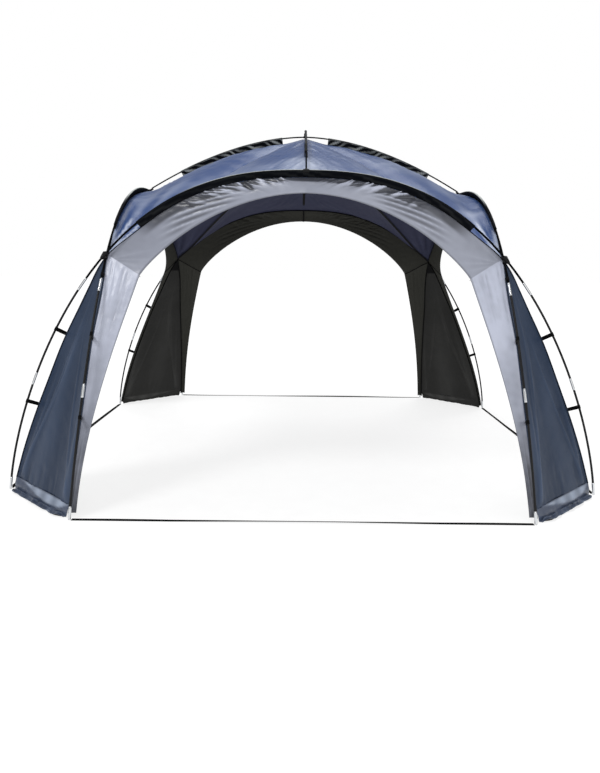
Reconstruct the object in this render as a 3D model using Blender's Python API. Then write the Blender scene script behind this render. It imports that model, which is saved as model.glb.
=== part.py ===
"""Dome gazebo: four crossing arch poles, two roof poles and a fabric canopy with four open doorways.

Metres, +Z up, the front doorway looks towards -Y, origin on the ground under the crown.
"""
import math

import bmesh
import bpy
import numpy as np

# Frame
HALF_SPAN = 1.75
ARCH_HEIGHT = 1.884
ARCH_WIDTH_POWER = 2.5
ARCH_HEIGHT_POWER = 1.52
ARCH_OFFSET_TOP = 1.169
ARCH_OFFSET_SPREAD = 0.077
CROSSING_SHIFT = 0.0112
LEG_RADIUS = 0.0065
FERRULE_RADIUS = 0.0075
FOOT_RADIUS = 0.0080
FOOT_HEIGHT = 0.072
FERRULES = ((0.63, 0.70), (1.19, 1.26))
POLE_RADIUS = 0.00635
ROOF_POLE_RADIUS = 0.005
CROWN_HEIGHT = 2.285
CROWN_STEP = 0.022
ROOF_POLE_POWER = 1.8
ROOF_POLE_END_HEIGHT = 1.886
ROOF_POLE_END_LEAN = 0.0027
POLE_SIDES = 8

# Fabric
FABRIC = 0.003
SEAM_INSET = 0.00038
FIT_GAP = 0.0004
SLEEVE_WALL = 0.0024
SLEEVE_DROP = 0.035
SLEEVE_REACH = 0.98
RIDGE_DROP = 0.042
ROOF_SAG = 0.065
CROWN_PEAK = 0.030
CROWN_PEAK_RADIUS = 0.15
DIAGONAL_BULGE = 0.22
TAB_SIDE = 0.006
CLIP_SIZE = (0.046, 0.040, 0.034)
SOCKET_SIZE = (0.036, 0.034, 0.030)
SOCKET_SLOT = 0.0225
HUB_SIZE = (0.026, 0.026, 0.048)
HUB_TOP = 0.0315
PATCH_SIZE = (0.064, 0.064, 0.004)
TAB_HEIGHTS = ((0.52, 0.54), (0.95, 0.97))
STRAP_WIDTH = 0.026
STRAP_THICKNESS = 0.002

# How far each leg seam hangs inside its bowed leg, by height
LEG_GAP_HEIGHTS = (0.0, 0.25, 0.7, 1.1, 1.28, 1.40)
LEG_GAPS = (0.017, 0.047, 0.074, 0.056, 0.036, 0.035)

# Doorway hem of one side, from its foot to the middle of the top: half width, outward distance, height
HEM_FOOT = np.array((1.205, 1.727, 0.03))
HEM_LEG_PULL = np.array((1.175, 1.648, 0.45))
HEM_LEG_TOP_PULL = np.array((1.090, 1.443, 0.825))
HEM_CORNER = np.array((0.954, 1.242, 1.275))
HEM_TOP_PULL = np.array((0.855, 1.165, 1.440))
HEM_MIDDLE_PULL = np.array((0.470, 1.212, 1.752))
HEM_MIDDLE = np.array((0.0, 1.250, 1.752))

COLOURS = {
    "pole": (0.012, 0.013, 0.015, 1.0),
    "steel": (0.02, 0.02, 0.022, 1.0),
    "roof": (0.09, 0.14, 0.29, 1.0),
    "trim": (0.33, 0.34, 0.38, 1.0),
    "corner": (0.06, 0.085, 0.13, 1.0),
    "webbing": (0.006, 0.006, 0.007, 1.0),
    "plastic": (0.01, 0.01, 0.01, 1.0),
}


def unit(vector):
    """Return the vector with length one."""
    return vector / np.linalg.norm(vector)


def material(kind):
    """Return the shared Principled material of one kind."""
    found = bpy.data.materials.get(kind)
    if found:
        return found
    made = bpy.data.materials.new(kind)
    made.use_nodes = True
    shader = made.node_tree.nodes["Principled BSDF"]
    shader.inputs["Base Color"].default_value = COLOURS[kind]
    shader.inputs["Roughness"].default_value = 0.6
    return made


def add_object(name, vertices, faces, kind):
    """Add one closed mesh object with its faces turned outward."""
    mesh = bpy.data.meshes.new(name)
    mesh.from_pydata([tuple(map(float, v)) for v in vertices], [], faces)
    work = bmesh.new()
    work.from_mesh(mesh)
    bmesh.ops.recalc_face_normals(work, faces=work.faces)
    work.to_mesh(mesh)
    work.free()
    body = bpy.data.objects.new(name, mesh)
    bpy.context.collection.objects.link(body)
    body.data.materials.append(material(kind))
    return body


class Path:
    """A polyline with one shared frame per point, so that all that runs along it stays parallel."""

    def __init__(self, points, side):
        self.points = np.array(points, float)
        steps = np.diff(self.points, axis=0)
        steps /= np.linalg.norm(steps, axis=1)[:, None]
        tangents = np.vstack([steps[:1], steps[:-1] + steps[1:], steps[-1:]])
        self.tangent = tangents / np.linalg.norm(tangents, axis=1)[:, None]
        outs = np.cross(np.array(side, float), self.tangent)
        self.out = outs / np.linalg.norm(outs, axis=1)[:, None]
        self.side = np.cross(self.tangent, self.out)

    def ring(self, index, profile):
        """Return the profile's (out, side) pairs as points around one path point."""
        out = self.out[index]
        side = self.side[index]
        return [self.points[index] + out * a + side * b for a, b in profile]


def circle(radius, sides=POLE_SIDES):
    """Return a regular profile with a flat turned towards the web."""
    turns = [2 * math.pi * (i + 0.5) / sides for i in range(sides)]
    return [(radius * math.cos(t), radius * math.sin(t)) for t in turns]


def rod(name, path, radii, kind, level_start=False):
    """Sweep a round rod along the path, one radius per point."""
    vertices = []
    count = len(radii)
    for index, radius in enumerate(radii):
        ring = path.ring(index, circle(radius))
        if level_start and index == 0:
            ring = [point - path.tangent[0] * point[2] / path.tangent[0][2] for point in ring]
        vertices.extend(ring)
    faces = []
    for i in range(count - 1):
        for j in range(POLE_SIDES):
            k = (j + 1) % POLE_SIDES
            faces.append((i * POLE_SIDES + j, i * POLE_SIDES + k, (i + 1) * POLE_SIDES + k, (i + 1) * POLE_SIDES + j))
    faces.append(tuple(range(POLE_SIDES)))
    faces.append(tuple((count - 1) * POLE_SIDES + j for j in range(POLE_SIDES)))
    return add_object(name, vertices, faces, kind)


def sleeve(name, path, indices, radius, drops, kind, shift=0.0, half_web=FABRIC / 2):
    """Sweep a fabric loop around a pole with a flat web that hangs towards the inside."""
    inner = circle(radius + FIT_GAP)
    outer = circle(radius + FIT_GAP + SLEEVE_WALL)
    low = sorted(range(POLE_SIDES), key=lambda j: outer[j][0])[:2]
    vertices = []
    for index, drop in zip(indices, drops):
        profile = list(outer)
        for j in low:
            profile[j] = (-drop, math.copysign(half_web, outer[j][1]) + shift)
        vertices.extend(path.ring(index, inner))
        vertices.extend(path.ring(index, profile))
    ring = 2 * POLE_SIDES
    faces = []
    for i in range(len(indices) - 1):
        for j in range(POLE_SIDES):
            k = (j + 1) % POLE_SIDES
            for base in (0, POLE_SIDES):
                a = i * ring + base
                b = a + ring
                faces.append((a + j, a + k, b + k, b + j))
    for i in (0, len(indices) - 1):
        for j in range(POLE_SIDES):
            k = (j + 1) % POLE_SIDES
            a = i * ring
            faces.append((a + j, a + k, a + POLE_SIDES + k, a + POLE_SIDES + j))
    return add_object(name, vertices, faces, kind)


def grid_normals(grid):
    """Return the unit normal of the surface at each grid point."""
    along = np.gradient(grid, axis=0)
    across = np.gradient(grid, axis=1)
    normals = np.cross(along, across)
    return normals / np.linalg.norm(normals, axis=2)[:, :, None]


def inset_edges(grid, edges):
    """Pull the seamed edges of a grid back by the seam gap, along the surface."""
    result = grid.copy()
    if "start" in edges:
        step = grid[1] - grid[0]
        result[0] += SEAM_INSET * step / np.linalg.norm(step, axis=1)[:, None]
    if "end" in edges:
        step = grid[-2] - grid[-1]
        result[-1] += SEAM_INSET * step / np.linalg.norm(step, axis=1)[:, None]
    if "left" in edges:
        step = grid[:, 1] - grid[:, 0]
        result[:, 0] += SEAM_INSET * step / np.linalg.norm(step, axis=1)[:, None]
    if "right" in edges:
        step = grid[:, -2] - grid[:, -1]
        result[:, -1] += SEAM_INSET * step / np.linalg.norm(step, axis=1)[:, None]
    return result


def sheet(name, grid, normals, kind):
    """Turn a grid and its thickness directions into a closed cloth panel."""
    rows, columns = grid.shape[:2]
    upper = (grid + normals * FABRIC / 2).reshape(-1, 3)
    lower = (grid - normals * FABRIC / 2).reshape(-1, 3)
    size = rows * columns
    faces = []
    for i in range(rows - 1):
        for j in range(columns - 1):
            a = i * columns + j
            b = a + columns
            faces.append((a, a + 1, b + 1, b))
            faces.append((size + a, size + b, size + b + 1, size + a + 1))
    rim = [j for j in range(columns)]
    rim += [i * columns + columns - 1 for i in range(1, rows)]
    rim += [(rows - 1) * columns + j for j in range(columns - 2, -1, -1)]
    rim += [i * columns for i in range(rows - 2, 0, -1)]
    for a, b in zip(rim, rim[1:] + rim[:1]):
        faces.append((a, b, size + b, size + a))
    return add_object(name, np.vstack([upper, lower]), faces, kind)


def turn(points, quarter):
    """Turn points about the vertical axis by quarter turns, front to right first."""
    result = np.array(points, float)
    for _ in range(quarter):
        result = np.stack([-result[..., 1], result[..., 0], result[..., 2]], axis=-1)
    return result


# Arch shape
def arch_half_width(height):
    """Return how far from the middle the arch stands at a height."""
    share = min(max(height / ARCH_HEIGHT, 0.0), 1.0)
    return HALF_SPAN * (1 - share ** ARCH_HEIGHT_POWER) ** (1 / ARCH_WIDTH_POWER)


def arch_height(x):
    """Return the height of the arch at a distance from its middle."""
    share = min(abs(x) / HALF_SPAN, 1.0)
    return ARCH_HEIGHT * (1 - share ** ARCH_WIDTH_POWER) ** (1 / ARCH_HEIGHT_POWER)


def arch_offset(height):
    """Return how far out from the centre the arch stands at a height."""
    return ARCH_OFFSET_TOP + ARCH_OFFSET_SPREAD * (1 - height / ARCH_HEIGHT) ** 2


def arch_point(x, height, shift=0.0):
    """Return one point of the front arch."""
    return np.array((x, -(arch_offset(height) + shift), height))


# Sample positions, shared by the poles and by all cloth along them
LEG_LEVELS = [0.0, FOOT_HEIGHT, FOOT_HEIGHT + 0.0005, 0.2, 0.36]
LEG_LEVELS += [TAB_HEIGHTS[0][0], TAB_HEIGHTS[0][1], FERRULES[0][0], FERRULES[0][0] + 0.0005]
LEG_LEVELS += [FERRULES[0][1], FERRULES[0][1] + 0.0005, 0.82, TAB_HEIGHTS[1][0], TAB_HEIGHTS[1][1], 1.08]
LEG_LEVELS += [FERRULES[1][0], FERRULES[1][0] + 0.0005, FERRULES[1][1]]

HALF_ARCH = [0.02, 0.14, 0.28, 0.42, 0.56, 0.70, 0.83, 0.94, SLEEVE_REACH]
SEAM_WIDTHS = [0.0, 0.14, 0.28, 0.42, 0.56, 0.70, 0.83, 0.94, SLEEVE_REACH, 1.05, 1.12]


def arch_top_points(shift):
    """Return the points of the upper arch pole from its left leg to its right leg."""
    half = [np.array((x, arch_height(x))) for x in HALF_ARCH + [1.05, 1.12, 1.20]]
    top = FERRULES[1][1] + 0.0004
    half.append(np.array((arch_half_width(top), top)))
    right = [arch_point(x, z, shift) for x, z in half]
    left = [arch_point(-x, z, shift) for x, z in reversed(half)]
    return left + right


def leg_points(sign, shift):
    """Return the points of one leg of the front arch, from the ground up."""
    return [arch_point(sign * arch_half_width(z), z, shift) for z in LEG_LEVELS]


def leg_radii():
    """Return the leg radius at each leg level."""
    radii = []
    for z in LEG_LEVELS:
        if z <= FOOT_HEIGHT:
            radii.append(FOOT_RADIUS)
        elif any(low < z <= high for low, high in FERRULES):
            radii.append(FERRULE_RADIUS)
        else:
            radii.append(LEG_RADIUS)
    return radii


# Fabric curves of the front side
def in_plane_out(x):
    """Return the direction away from the arch's inside at a half width, in the arch's own plane."""
    step = 0.002
    before = np.array((x - step, arch_height(x - step)))
    after = np.array((x + step, arch_height(x + step)))
    run = unit(after - before)
    return np.array((-run[1], 0.0, run[0]))


def corner_width():
    """Return the half width at which the arches cross."""
    x = 1.17
    for _ in range(20):
        x = arch_offset(arch_height(x))
    return x


CROSSING = corner_width()
CROSSING_HEIGHT = arch_height(CROSSING)
CORNER = np.array((CROSSING, -CROSSING, CROSSING_HEIGHT))
_drop = in_plane_out(CROSSING) * SLEEVE_DROP
CORNER = np.array((CROSSING - _drop[0], -(CROSSING - _drop[0]), CROSSING_HEIGHT - _drop[2]))


def ease(value):
    """Return a smooth step from 0 to 1."""
    value = min(max(value, 0.0), 1.0)
    return value * value * (3 - 2 * value)


def arch_seam(x):
    """Return the seam point under the front arch at a half width of the pole."""
    point = arch_point(x, arch_height(x)) - in_plane_out(x) * SLEEVE_DROP
    near = ease((abs(x) - SLEEVE_REACH) / (CROSSING - SLEEVE_REACH))
    point[1] += near * (CORNER[1] + arch_offset(CROSSING_HEIGHT))
    return point


def arch_seam_curve():
    """Return the whole seam under the front arch, corner to corner."""
    half = [arch_seam(x) for x in SEAM_WIDTHS] + [CORNER]
    mirrored = [point * (-1, 1, 1) for point in reversed(half[1:])]
    return np.array(mirrored + half)


def leg_seam(z):
    """Return the seam point inside the right leg of the front arch at a leg height."""
    x = arch_half_width(z)
    span = 0.004
    low = max(z - span, 0.0)
    run = unit(np.array((arch_half_width(low) - arch_half_width(z + span), z + span - low)))
    gap = float(np.interp(z, LEG_GAP_HEIGHTS, LEG_GAPS))
    point = np.array((x - gap * run[1], -arch_offset(z), z - gap * run[0]))
    near = ease((z - 0.9) / (CROSSING_HEIGHT - 0.9))
    point[1] += near * (CORNER[1] + arch_offset(CROSSING_HEIGHT))
    return point


SEAM_LEVELS = [0.03, 0.10, 0.20, 0.36, TAB_HEIGHTS[0][0], TAB_HEIGHTS[0][1], 0.68, 0.82]
SEAM_LEVELS += [TAB_HEIGHTS[1][0], TAB_HEIGHTS[1][1], 1.08, 1.19, 1.29]


def leg_seam_curve():
    """Return the seam inside the front arch's right leg, from the ground up to the corner."""
    return np.array([leg_seam(z) for z in SEAM_LEVELS] + [CORNER])


def swap(points):
    """Mirror points across the diagonal of the right front corner."""
    points = np.array(points, float)
    return np.stack([-points[..., 1], -points[..., 0], points[..., 2]], axis=-1)


def bezier(a, b, c, d, share):
    """Return one point of a cubic curve."""
    rest = 1 - share
    return rest ** 3 * a + 3 * rest * rest * share * b + 3 * rest * share * share * c + share ** 3 * d


def arc_shares(points):
    """Return the share of the whole length at each point of a curve."""
    lengths = np.concatenate([[0], np.cumsum(np.linalg.norm(np.diff(points, axis=0), axis=1))])
    return lengths / lengths[-1]


def diagonal_curve(shares):
    """Return the roof seam from the right front corner towards the crown."""
    points = []
    for t in shares:
        flat = CORNER * (1 - t)
        reach = math.hypot(flat[0], flat[1])
        height = CORNER[2] + (CROWN_HEIGHT - RIDGE_DROP - CORNER[2]) * t + DIAGONAL_BULGE * t * (1 - t)
        points.append((flat[0], flat[1], height + crown_peak(reach)))
    return np.array(points)


def crown_peak(reach):
    """Return the extra height of the cloth where the crossing poles hold it up."""
    return CROWN_PEAK * max(0.0, 1 - reach / CROWN_PEAK_RADIUS) ** 1.3


def roof_pole_height(reach, top=CROWN_HEIGHT):
    """Return the height of a roof pole at a distance from the crown."""
    fall = (top - ROOF_POLE_END_HEIGHT) / ARCH_OFFSET_TOP ** ROOF_POLE_POWER
    return top - fall * abs(reach) ** ROOF_POLE_POWER


def flat_normal(angle, rise):
    """Return a direction out of the right front corner, turned from the front towards the right."""
    return unit(np.array((math.sin(angle), -math.cos(angle), rise)))


CORNER_NORMAL = flat_normal(math.pi / 4, 1.48)


# Cloth panels of the front side and of the right front corner
ROOF_REACHES = [1.169, 1.09, 1.0, 0.91, 0.76, 0.60, 0.45, 0.30, 0.18, 0.11, 0.065, 0.03]
ROOF_SLEEVE = (0.17, 0.92)
ROOF_SHARES = [1 - reach / ARCH_OFFSET_TOP for reach in ROOF_REACHES]

# The skirt's rows on the ground: distance out from the panel's base, height and inset of the ends
SKIRT_ROWS = ((0.085, 0.0018, 0.12), (0.050, 0.0018, 0.10), (0.016, 0.0030, 0.07))


def arch_seam_normals(seam):
    """Return the thickness directions along the seam under the front arch."""
    normals = []
    for point in seam:
        x = point[0]
        level = in_plane_out(x * 0.999) + np.array((0.0, -0.9, 0.0))
        near = ease((abs(x) - 0.85) / (CORNER[0] - 0.85))
        corner = CORNER_NORMAL * (math.copysign(1, x), 1, 1)
        normals.append(unit(unit(level) * (1 - near) + corner * near))
    return np.array(normals)


def roof_grid():
    """Return the front roof panel's grid and thickness directions."""
    seam = arch_seam_curve()
    middle = len(seam) // 2
    top = seam[middle][2]
    wide = CORNER[0]
    diagonal = diagonal_curve(ROOF_SHARES)
    grid = np.zeros((len(ROOF_SHARES), len(seam), 3))
    for i, t in enumerate(ROOF_SHARES):
        reach = -seam[middle][1] * (1 - t)
        lift = ease(t / 0.06) * (ROOF_POLE_END_HEIGHT - RIDGE_DROP - top)
        ridge = roof_pole_height(reach) - RIDGE_DROP - (ROOF_POLE_END_HEIGHT - RIDGE_DROP - top) + lift
        ridge += crown_peak(reach)
        for j, point in enumerate(seam):
            arch_shape = (top - point[2]) / (top - CORNER[2])
            roof_shape = (point[0] / wide) ** 2
            share = arch_shape * (1 - t) + roof_shape * t
            height = ridge + (diagonal[i][2] - ridge) * share
            height -= ROOF_SAG * math.sin(math.pi * abs(point[0]) / wide) * ease(t / 0.12) * (1 - t) ** 1.5
            grid[i, j] = (point[0] * (1 - t), point[1] * (1 - t), height)
    normals = -grid_normals(grid)
    if normals[3, middle, 2] < 0:
        normals = -normals
    normals[0] = arch_seam_normals(seam)
    tangents = np.gradient(diagonal, axis=0)
    for i in range(len(ROOF_SHARES)):
        run = unit(tangents[i])
        up = unit(np.array((0.0, 0.0, 1.0)) - run * run[2])
        if i == 0:
            up = CORNER_NORMAL
        normals[i, -1] = up
        normals[i, 0] = up * (-1, 1, 1)
    return grid, normals


def leg_seam_normals(count):
    """Return the thickness directions along the right arch's front leg seam, from the ground up."""
    normals = []
    for index in range(count):
        share = ease((index / (count - 1) - 0.55) / 0.45)
        normals.append(unit(flat_normal(0.62, 0.40) * (1 - share) + CORNER_NORMAL * share))
    return np.array(normals)


def surround_grid():
    """Return the front valance with its two door strips, and its thickness directions."""
    leg = swap(leg_seam_curve())
    arch = arch_seam_curve()
    middle = len(arch) // 2
    half_arch = arch[middle:][::-1]
    outer = np.vstack([leg, half_arch[1:]])
    leg_shares = arc_shares(leg)
    arch_shares = arc_shares(half_arch)
    hem = [bezier(HEM_FOOT, HEM_LEG_PULL, HEM_LEG_TOP_PULL, HEM_CORNER, s) for s in leg_shares]
    hem += [bezier(HEM_CORNER, HEM_TOP_PULL, HEM_MIDDLE_PULL, HEM_MIDDLE, s) for s in arch_shares[1:]]
    hem = np.array(hem) * (1, -1, 1)
    outer = np.vstack([outer, outer[-2::-1] * (-1, 1, 1)])
    hem = np.vstack([hem, hem[-2::-1] * (-1, 1, 1)])
    columns = np.linspace(0, 1, 5)
    grid = outer[:, None, :] * (1 - columns[None, :, None]) + hem[:, None, :] * columns[None, :, None]
    normals = grid_normals(grid)
    if normals[len(outer) // 2, 2, 1] > 0:
        normals = -normals
    leg_normals = leg_seam_normals(len(leg))
    top_normals = arch_seam_normals(half_arch)
    edge = np.vstack([leg_normals, top_normals[1:]])
    edge = np.vstack([edge, edge[-2::-1] * (-1, 1, 1)])
    normals[:, 0] = edge
    return grid, normals


def corner_grid():
    """Return the right front corner panel with its skirt, and its thickness directions."""
    right_leg = leg_seam_curve()
    front_leg = swap(right_leg)
    columns = np.linspace(0, 1, 9)
    rows = []
    outward = np.array((math.sqrt(0.5), -math.sqrt(0.5), 0.0))
    for distance, height, ends in SKIRT_ROWS:
        near = front_leg[0] * (1 - ends) + right_leg[0] * ends + outward * distance
        far = front_leg[0] * ends + right_leg[0] * (1 - ends) + outward * distance
        near[2] = height
        far[2] = height
        rows.append([near * (1 - c) + far * c for c in columns])
    for near, far in zip(front_leg[:-1], right_leg[:-1]):
        rows.append([near * (1 - c) + far * c for c in columns])
    tip_near = front_leg[-1] * 0.96 + front_leg[-2] * 0.04
    tip_far = right_leg[-1] * 0.96 + right_leg[-2] * 0.04
    rows.append([tip_near * (1 - c) + tip_far * c for c in columns])
    grid = np.array(rows)
    normals = grid_normals(grid)
    if normals[4, 4, 0] < 0:
        normals = -normals
    edge = leg_seam_normals(len(front_leg))
    first = len(SKIRT_ROWS)
    normals[first:, 0] = edge
    normals[first:, -1] = swap(edge)
    return grid, normals


# Fittings
def block(name, centre, axes, size, kind, tools):
    """Add a rectangular fitting with its pole channels cut through it."""
    corners = [(a, b, c) for c in (-0.5, 0.5) for b in (-0.5, 0.5) for a in (-0.5, 0.5)]
    vertices = [centre + sum(axis * share * length for axis, share, length in zip(axes, corner, size))
                for corner in corners]
    faces = [(0, 2, 3, 1), (4, 5, 7, 6), (0, 1, 5, 4), (2, 6, 7, 3), (0, 4, 6, 2), (1, 3, 7, 5)]
    body = add_object(name, vertices, faces, kind)
    for tool in tools:
        combine(body, tool, "DIFFERENCE")
    return body


def combine(body, tool, operation):
    """Join a helper solid to a body, or cut it out."""
    modifier = body.modifiers.new(tool.name, "BOOLEAN")
    modifier.operation = operation
    modifier.solver = "EXACT"
    modifier.object = tool
    tool.hide_render = True
    tool.display_type = "WIRE"


def roof_pole_points(top, end):
    """Return the points of one roof pole in its own upright plane, as position and height."""
    reaches = [reach for reach in ROOF_REACHES if reach < end - 0.02]
    reaches = [end] + reaches
    half = [(reach, roof_pole_height(reach, top)) for reach in reaches]
    return [(-reach, z) for reach, z in half] + [(reach, z) for reach, z in reversed(half)]


def roof_sleeve_drop(reach, top):
    """Return how far the sleeve's web runs from the pole down to the roof ridge."""
    slope = (roof_pole_height(reach - 0.01, top) - roof_pole_height(reach + 0.01, top)) / 0.02
    ridge = roof_pole_height(reach) - RIDGE_DROP + crown_peak(reach)
    fall = roof_pole_height(reach, top) - ridge
    return fall / math.hypot(1, slope) - FABRIC / 2 - 0.0006


def add_roof_pole(name, names, top, end, across):
    """Add one roof pole with the two sleeves that hold the roof to it."""
    flat = roof_pole_points(top, end)
    if across:
        path = Path([(x, 0.0, z) for x, z in flat], (0.0, -1.0, 0.0))
    else:
        path = Path([(0.0, y, z) for y, z in flat], (1.0, 0.0, 0.0))
    rod(name, path, [ROOF_POLE_RADIUS] * len(flat), "pole")
    for sign, sleeve_name in zip((-1, 1), names):
        low, high = ROOF_SLEEVE
        indices = [i for i, (reach, _) in enumerate(flat) if low < sign * reach < high]
        drops = [roof_sleeve_drop(abs(flat[i][0]), top) for i in indices]
        sleeve(sleeve_name, path, indices, ROOF_POLE_RADIUS, drops, "webbing")
    return path


def add_clip(name, quarter, poles):
    """Add the clip that holds two crossing arch poles together."""
    centre = turn((CROSSING, -CROSSING, CROSSING_HEIGHT), quarter)
    run = np.array((1.0, 0.0, -(arch_height(CROSSING - 0.01) - arch_height(CROSSING + 0.01)) / 0.02))
    other = swap(run)
    up = unit(run + other)
    across = unit(run - other)
    axes = [turn(axis, quarter) for axis in (up, across, np.cross(up, across))]
    tools = [rod(f"{name}_tool_{i}", path, [POLE_RADIUS + FIT_GAP] * len(path.points), "plastic")
             for i, path in enumerate(poles)]
    return block(name, centre, axes, CLIP_SIZE, "plastic", tools)


def add_strap(name, quarter, shift):
    """Add the flat webbing strap on the ground across one doorway."""
    foot = arch_offset(0.0) - shift
    reach = foot - FOOT_RADIUS - FIT_GAP
    axes = [turn(axis, quarter) for axis in np.eye(3)]
    centre = turn((0.0, -HALF_SPAN, STRAP_THICKNESS / 2), quarter)
    return block(name, centre, axes, (2 * reach, STRAP_WIDTH, STRAP_THICKNESS), "webbing", [])


# Poles
def build():
    """Build every node of the gazebo."""
    for item in list(bpy.data.objects):
        bpy.data.objects.remove(item, do_unlink=True)
    sides = ("front", "right", "back", "left")
    radii = leg_radii()
    tops = {}
    legs = {}
    for quarter, side in enumerate(sides):
        shift = CROSSING_SHIFT if quarter % 2 == 0 else -CROSSING_SHIFT
        normal = turn((0.0, -1.0, 0.0), quarter)
        top = Path(turn(arch_top_points(shift), quarter), normal)
        tops[quarter] = top
        rod(f"{side}_arch_pole", top, [POLE_RADIUS] * len(top.points), "pole")
        sleeve_indices = [i for i, p in enumerate(arch_top_points(shift)) if abs(p[0]) <= SLEEVE_REACH + 1e-6]
        drops = [SLEEVE_DROP - FABRIC / 2 - 0.0012] * len(sleeve_indices)
        sleeve(f"{side}_arch_sleeve", top, sleeve_indices, POLE_RADIUS, drops, "webbing", -shift)
        for sign, hand in ((-1, "left"), (1, "right")):
            leg = Path(turn(leg_points(sign, shift), quarter), -sign * normal)
            rod(f"{side}_arch_{hand}_leg", leg, radii, "steel", level_start=True)
            legs[quarter, sign] = (leg, shift)
        grid, normals = roof_grid()
        grid = inset_edges(grid, ("start", "left", "right"))
        sheet(f"{side}_roof_panel", turn(grid, quarter), turn(normals, quarter), "roof")
        grid, normals = surround_grid()
        grid = inset_edges(grid, ("left",))
        sheet(f"{side}_door_surround", turn(grid, quarter), turn(normals, quarter), "trim")
        add_strap(f"{side}_ground_strap", quarter, shift)
    for quarter, corner in enumerate(("front_right", "back_right", "back_left", "front_left")):
        grid, normals = corner_grid()
        grid = inset_edges(grid, ("left", "right"))
        panel = sheet(f"{corner}_corner_panel", turn(grid, quarter), turn(normals, quarter), "corner")
        following = (quarter + 1) % 4
        for (leg, shift), hand in ((legs[quarter, 1], 1), (legs[following, -1], -1)):
            for low, high in TAB_HEIGHTS:
                indices = [LEG_LEVELS.index(low), LEG_LEVELS.index(high)]
                drops = [float(np.interp(z, LEG_GAP_HEIGHTS, LEG_GAPS)) + TAB_SIDE for z in (low, high)]
                aside = hand * (shift - TAB_SIDE)
                tab = sleeve(f"{corner}_tab_{hand}_{low}", leg, indices, LEG_RADIUS, drops, "webbing", aside, 0.001)
                combine(panel, tab, "UNION")
        add_clip(f"{corner}_clip", quarter, (tops[quarter], tops[following]))
    high_top = CROWN_HEIGHT + CROWN_STEP
    half = SOCKET_SIZE[1] / 2 + FIT_GAP + ROOF_POLE_END_LEAN
    names = ("front_roof_sleeve", "back_roof_sleeve")
    first = add_roof_pole("roof_pole_front_back", names, high_top, ARCH_OFFSET_TOP + CROSSING_SHIFT - half, False)
    names = ("left_roof_sleeve", "right_roof_sleeve")
    second = add_roof_pole("roof_pole_left_right", names, CROWN_HEIGHT, ARCH_OFFSET_TOP - CROSSING_SHIFT - half, True)
    tools = [rod(f"hub_tool_{i}", path, [ROOF_POLE_RADIUS + FIT_GAP] * len(path.points), "plastic")
             for i, path in enumerate((first, second))]
    centre = np.array((0.0, 0.0, CROWN_HEIGHT + HUB_TOP - HUB_SIZE[2] / 2))
    clip = block("hub_clip", centre, np.eye(3), HUB_SIZE, "plastic", [])
    centre = np.array((0.0, 0.0, CROWN_HEIGHT + HUB_TOP - HUB_SIZE[2] + PATCH_SIZE[2] / 2 - 0.0012))
    hub = block("crown_hub", centre, np.eye(3), PATCH_SIZE, "plastic", [])
    combine(hub, clip, "UNION")
    for tool in tools:
        combine(hub, tool, "DIFFERENCE")
    for quarter, side in enumerate(sides):
        shift = CROSSING_SHIFT if quarter % 2 == 0 else -CROSSING_SHIFT
        radius = POLE_RADIUS + 2 * FIT_GAP + SLEEVE_WALL
        tool = rod(f"{side}_socket_tool", tops[quarter], [radius] * len(tops[quarter].points), "plastic")
        axes = [turn(axis, quarter) for axis in np.eye(3)]
        slot_centre = turn((0.0, -ARCH_OFFSET_TOP - shift, ARCH_HEIGHT - 0.02), quarter)
        slot = block(f"{side}_socket_slot", slot_centre, axes, (0.1, SOCKET_SLOT, 0.04), "plastic", [])
        socket_centre = turn((0.0, -ARCH_OFFSET_TOP - shift, ARCH_HEIGHT + 0.007), quarter)
        block(f"{side}_arch_socket", socket_centre, axes, SOCKET_SIZE, "plastic", [tool, slot])


build()
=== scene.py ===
"""Dome gazebo with a crossing pole frame, a cloth dome, four arched doorways and cloth corner legs.

Metres, +Z up, the front doorway looks towards -Y, origin on the ground under the crown.
"""
from __future__ import annotations

import logging
import math
import sys
from dataclasses import dataclass
from enum import Enum
from typing import Callable

import bmesh
import bpy
import numpy as np
from mathutils import Matrix, Vector

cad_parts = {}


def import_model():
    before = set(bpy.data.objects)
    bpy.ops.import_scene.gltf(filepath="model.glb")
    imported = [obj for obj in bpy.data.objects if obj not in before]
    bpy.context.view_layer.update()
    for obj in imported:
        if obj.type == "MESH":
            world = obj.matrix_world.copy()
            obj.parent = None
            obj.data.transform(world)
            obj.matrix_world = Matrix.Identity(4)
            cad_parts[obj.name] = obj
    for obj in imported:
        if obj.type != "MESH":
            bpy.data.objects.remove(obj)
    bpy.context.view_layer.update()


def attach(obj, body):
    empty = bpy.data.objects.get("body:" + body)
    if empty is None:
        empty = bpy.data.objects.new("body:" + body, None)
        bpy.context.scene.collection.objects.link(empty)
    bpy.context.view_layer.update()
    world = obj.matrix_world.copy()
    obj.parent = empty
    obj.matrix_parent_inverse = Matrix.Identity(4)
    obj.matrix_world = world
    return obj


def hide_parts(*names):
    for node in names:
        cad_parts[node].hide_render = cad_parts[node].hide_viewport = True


LOG = logging.getLogger("dome_gazebo")
Points = np.ndarray
QUARTERS = ("front", "right", "back", "left")
CORNERS = ("front_right", "back_right", "back_left", "front_left")


class Build(Enum):
    """Ways in which a cloth panel is finished after its surface is shaped."""

    # The inner side takes a second, dark material: the cloth's coated back, darkened with painted shade of the tent's
    # inside.
    BACKED_AND_SHADED = "backed_and_shaded"
    PLAIN = "plain"


# Shape of the dome.


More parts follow.
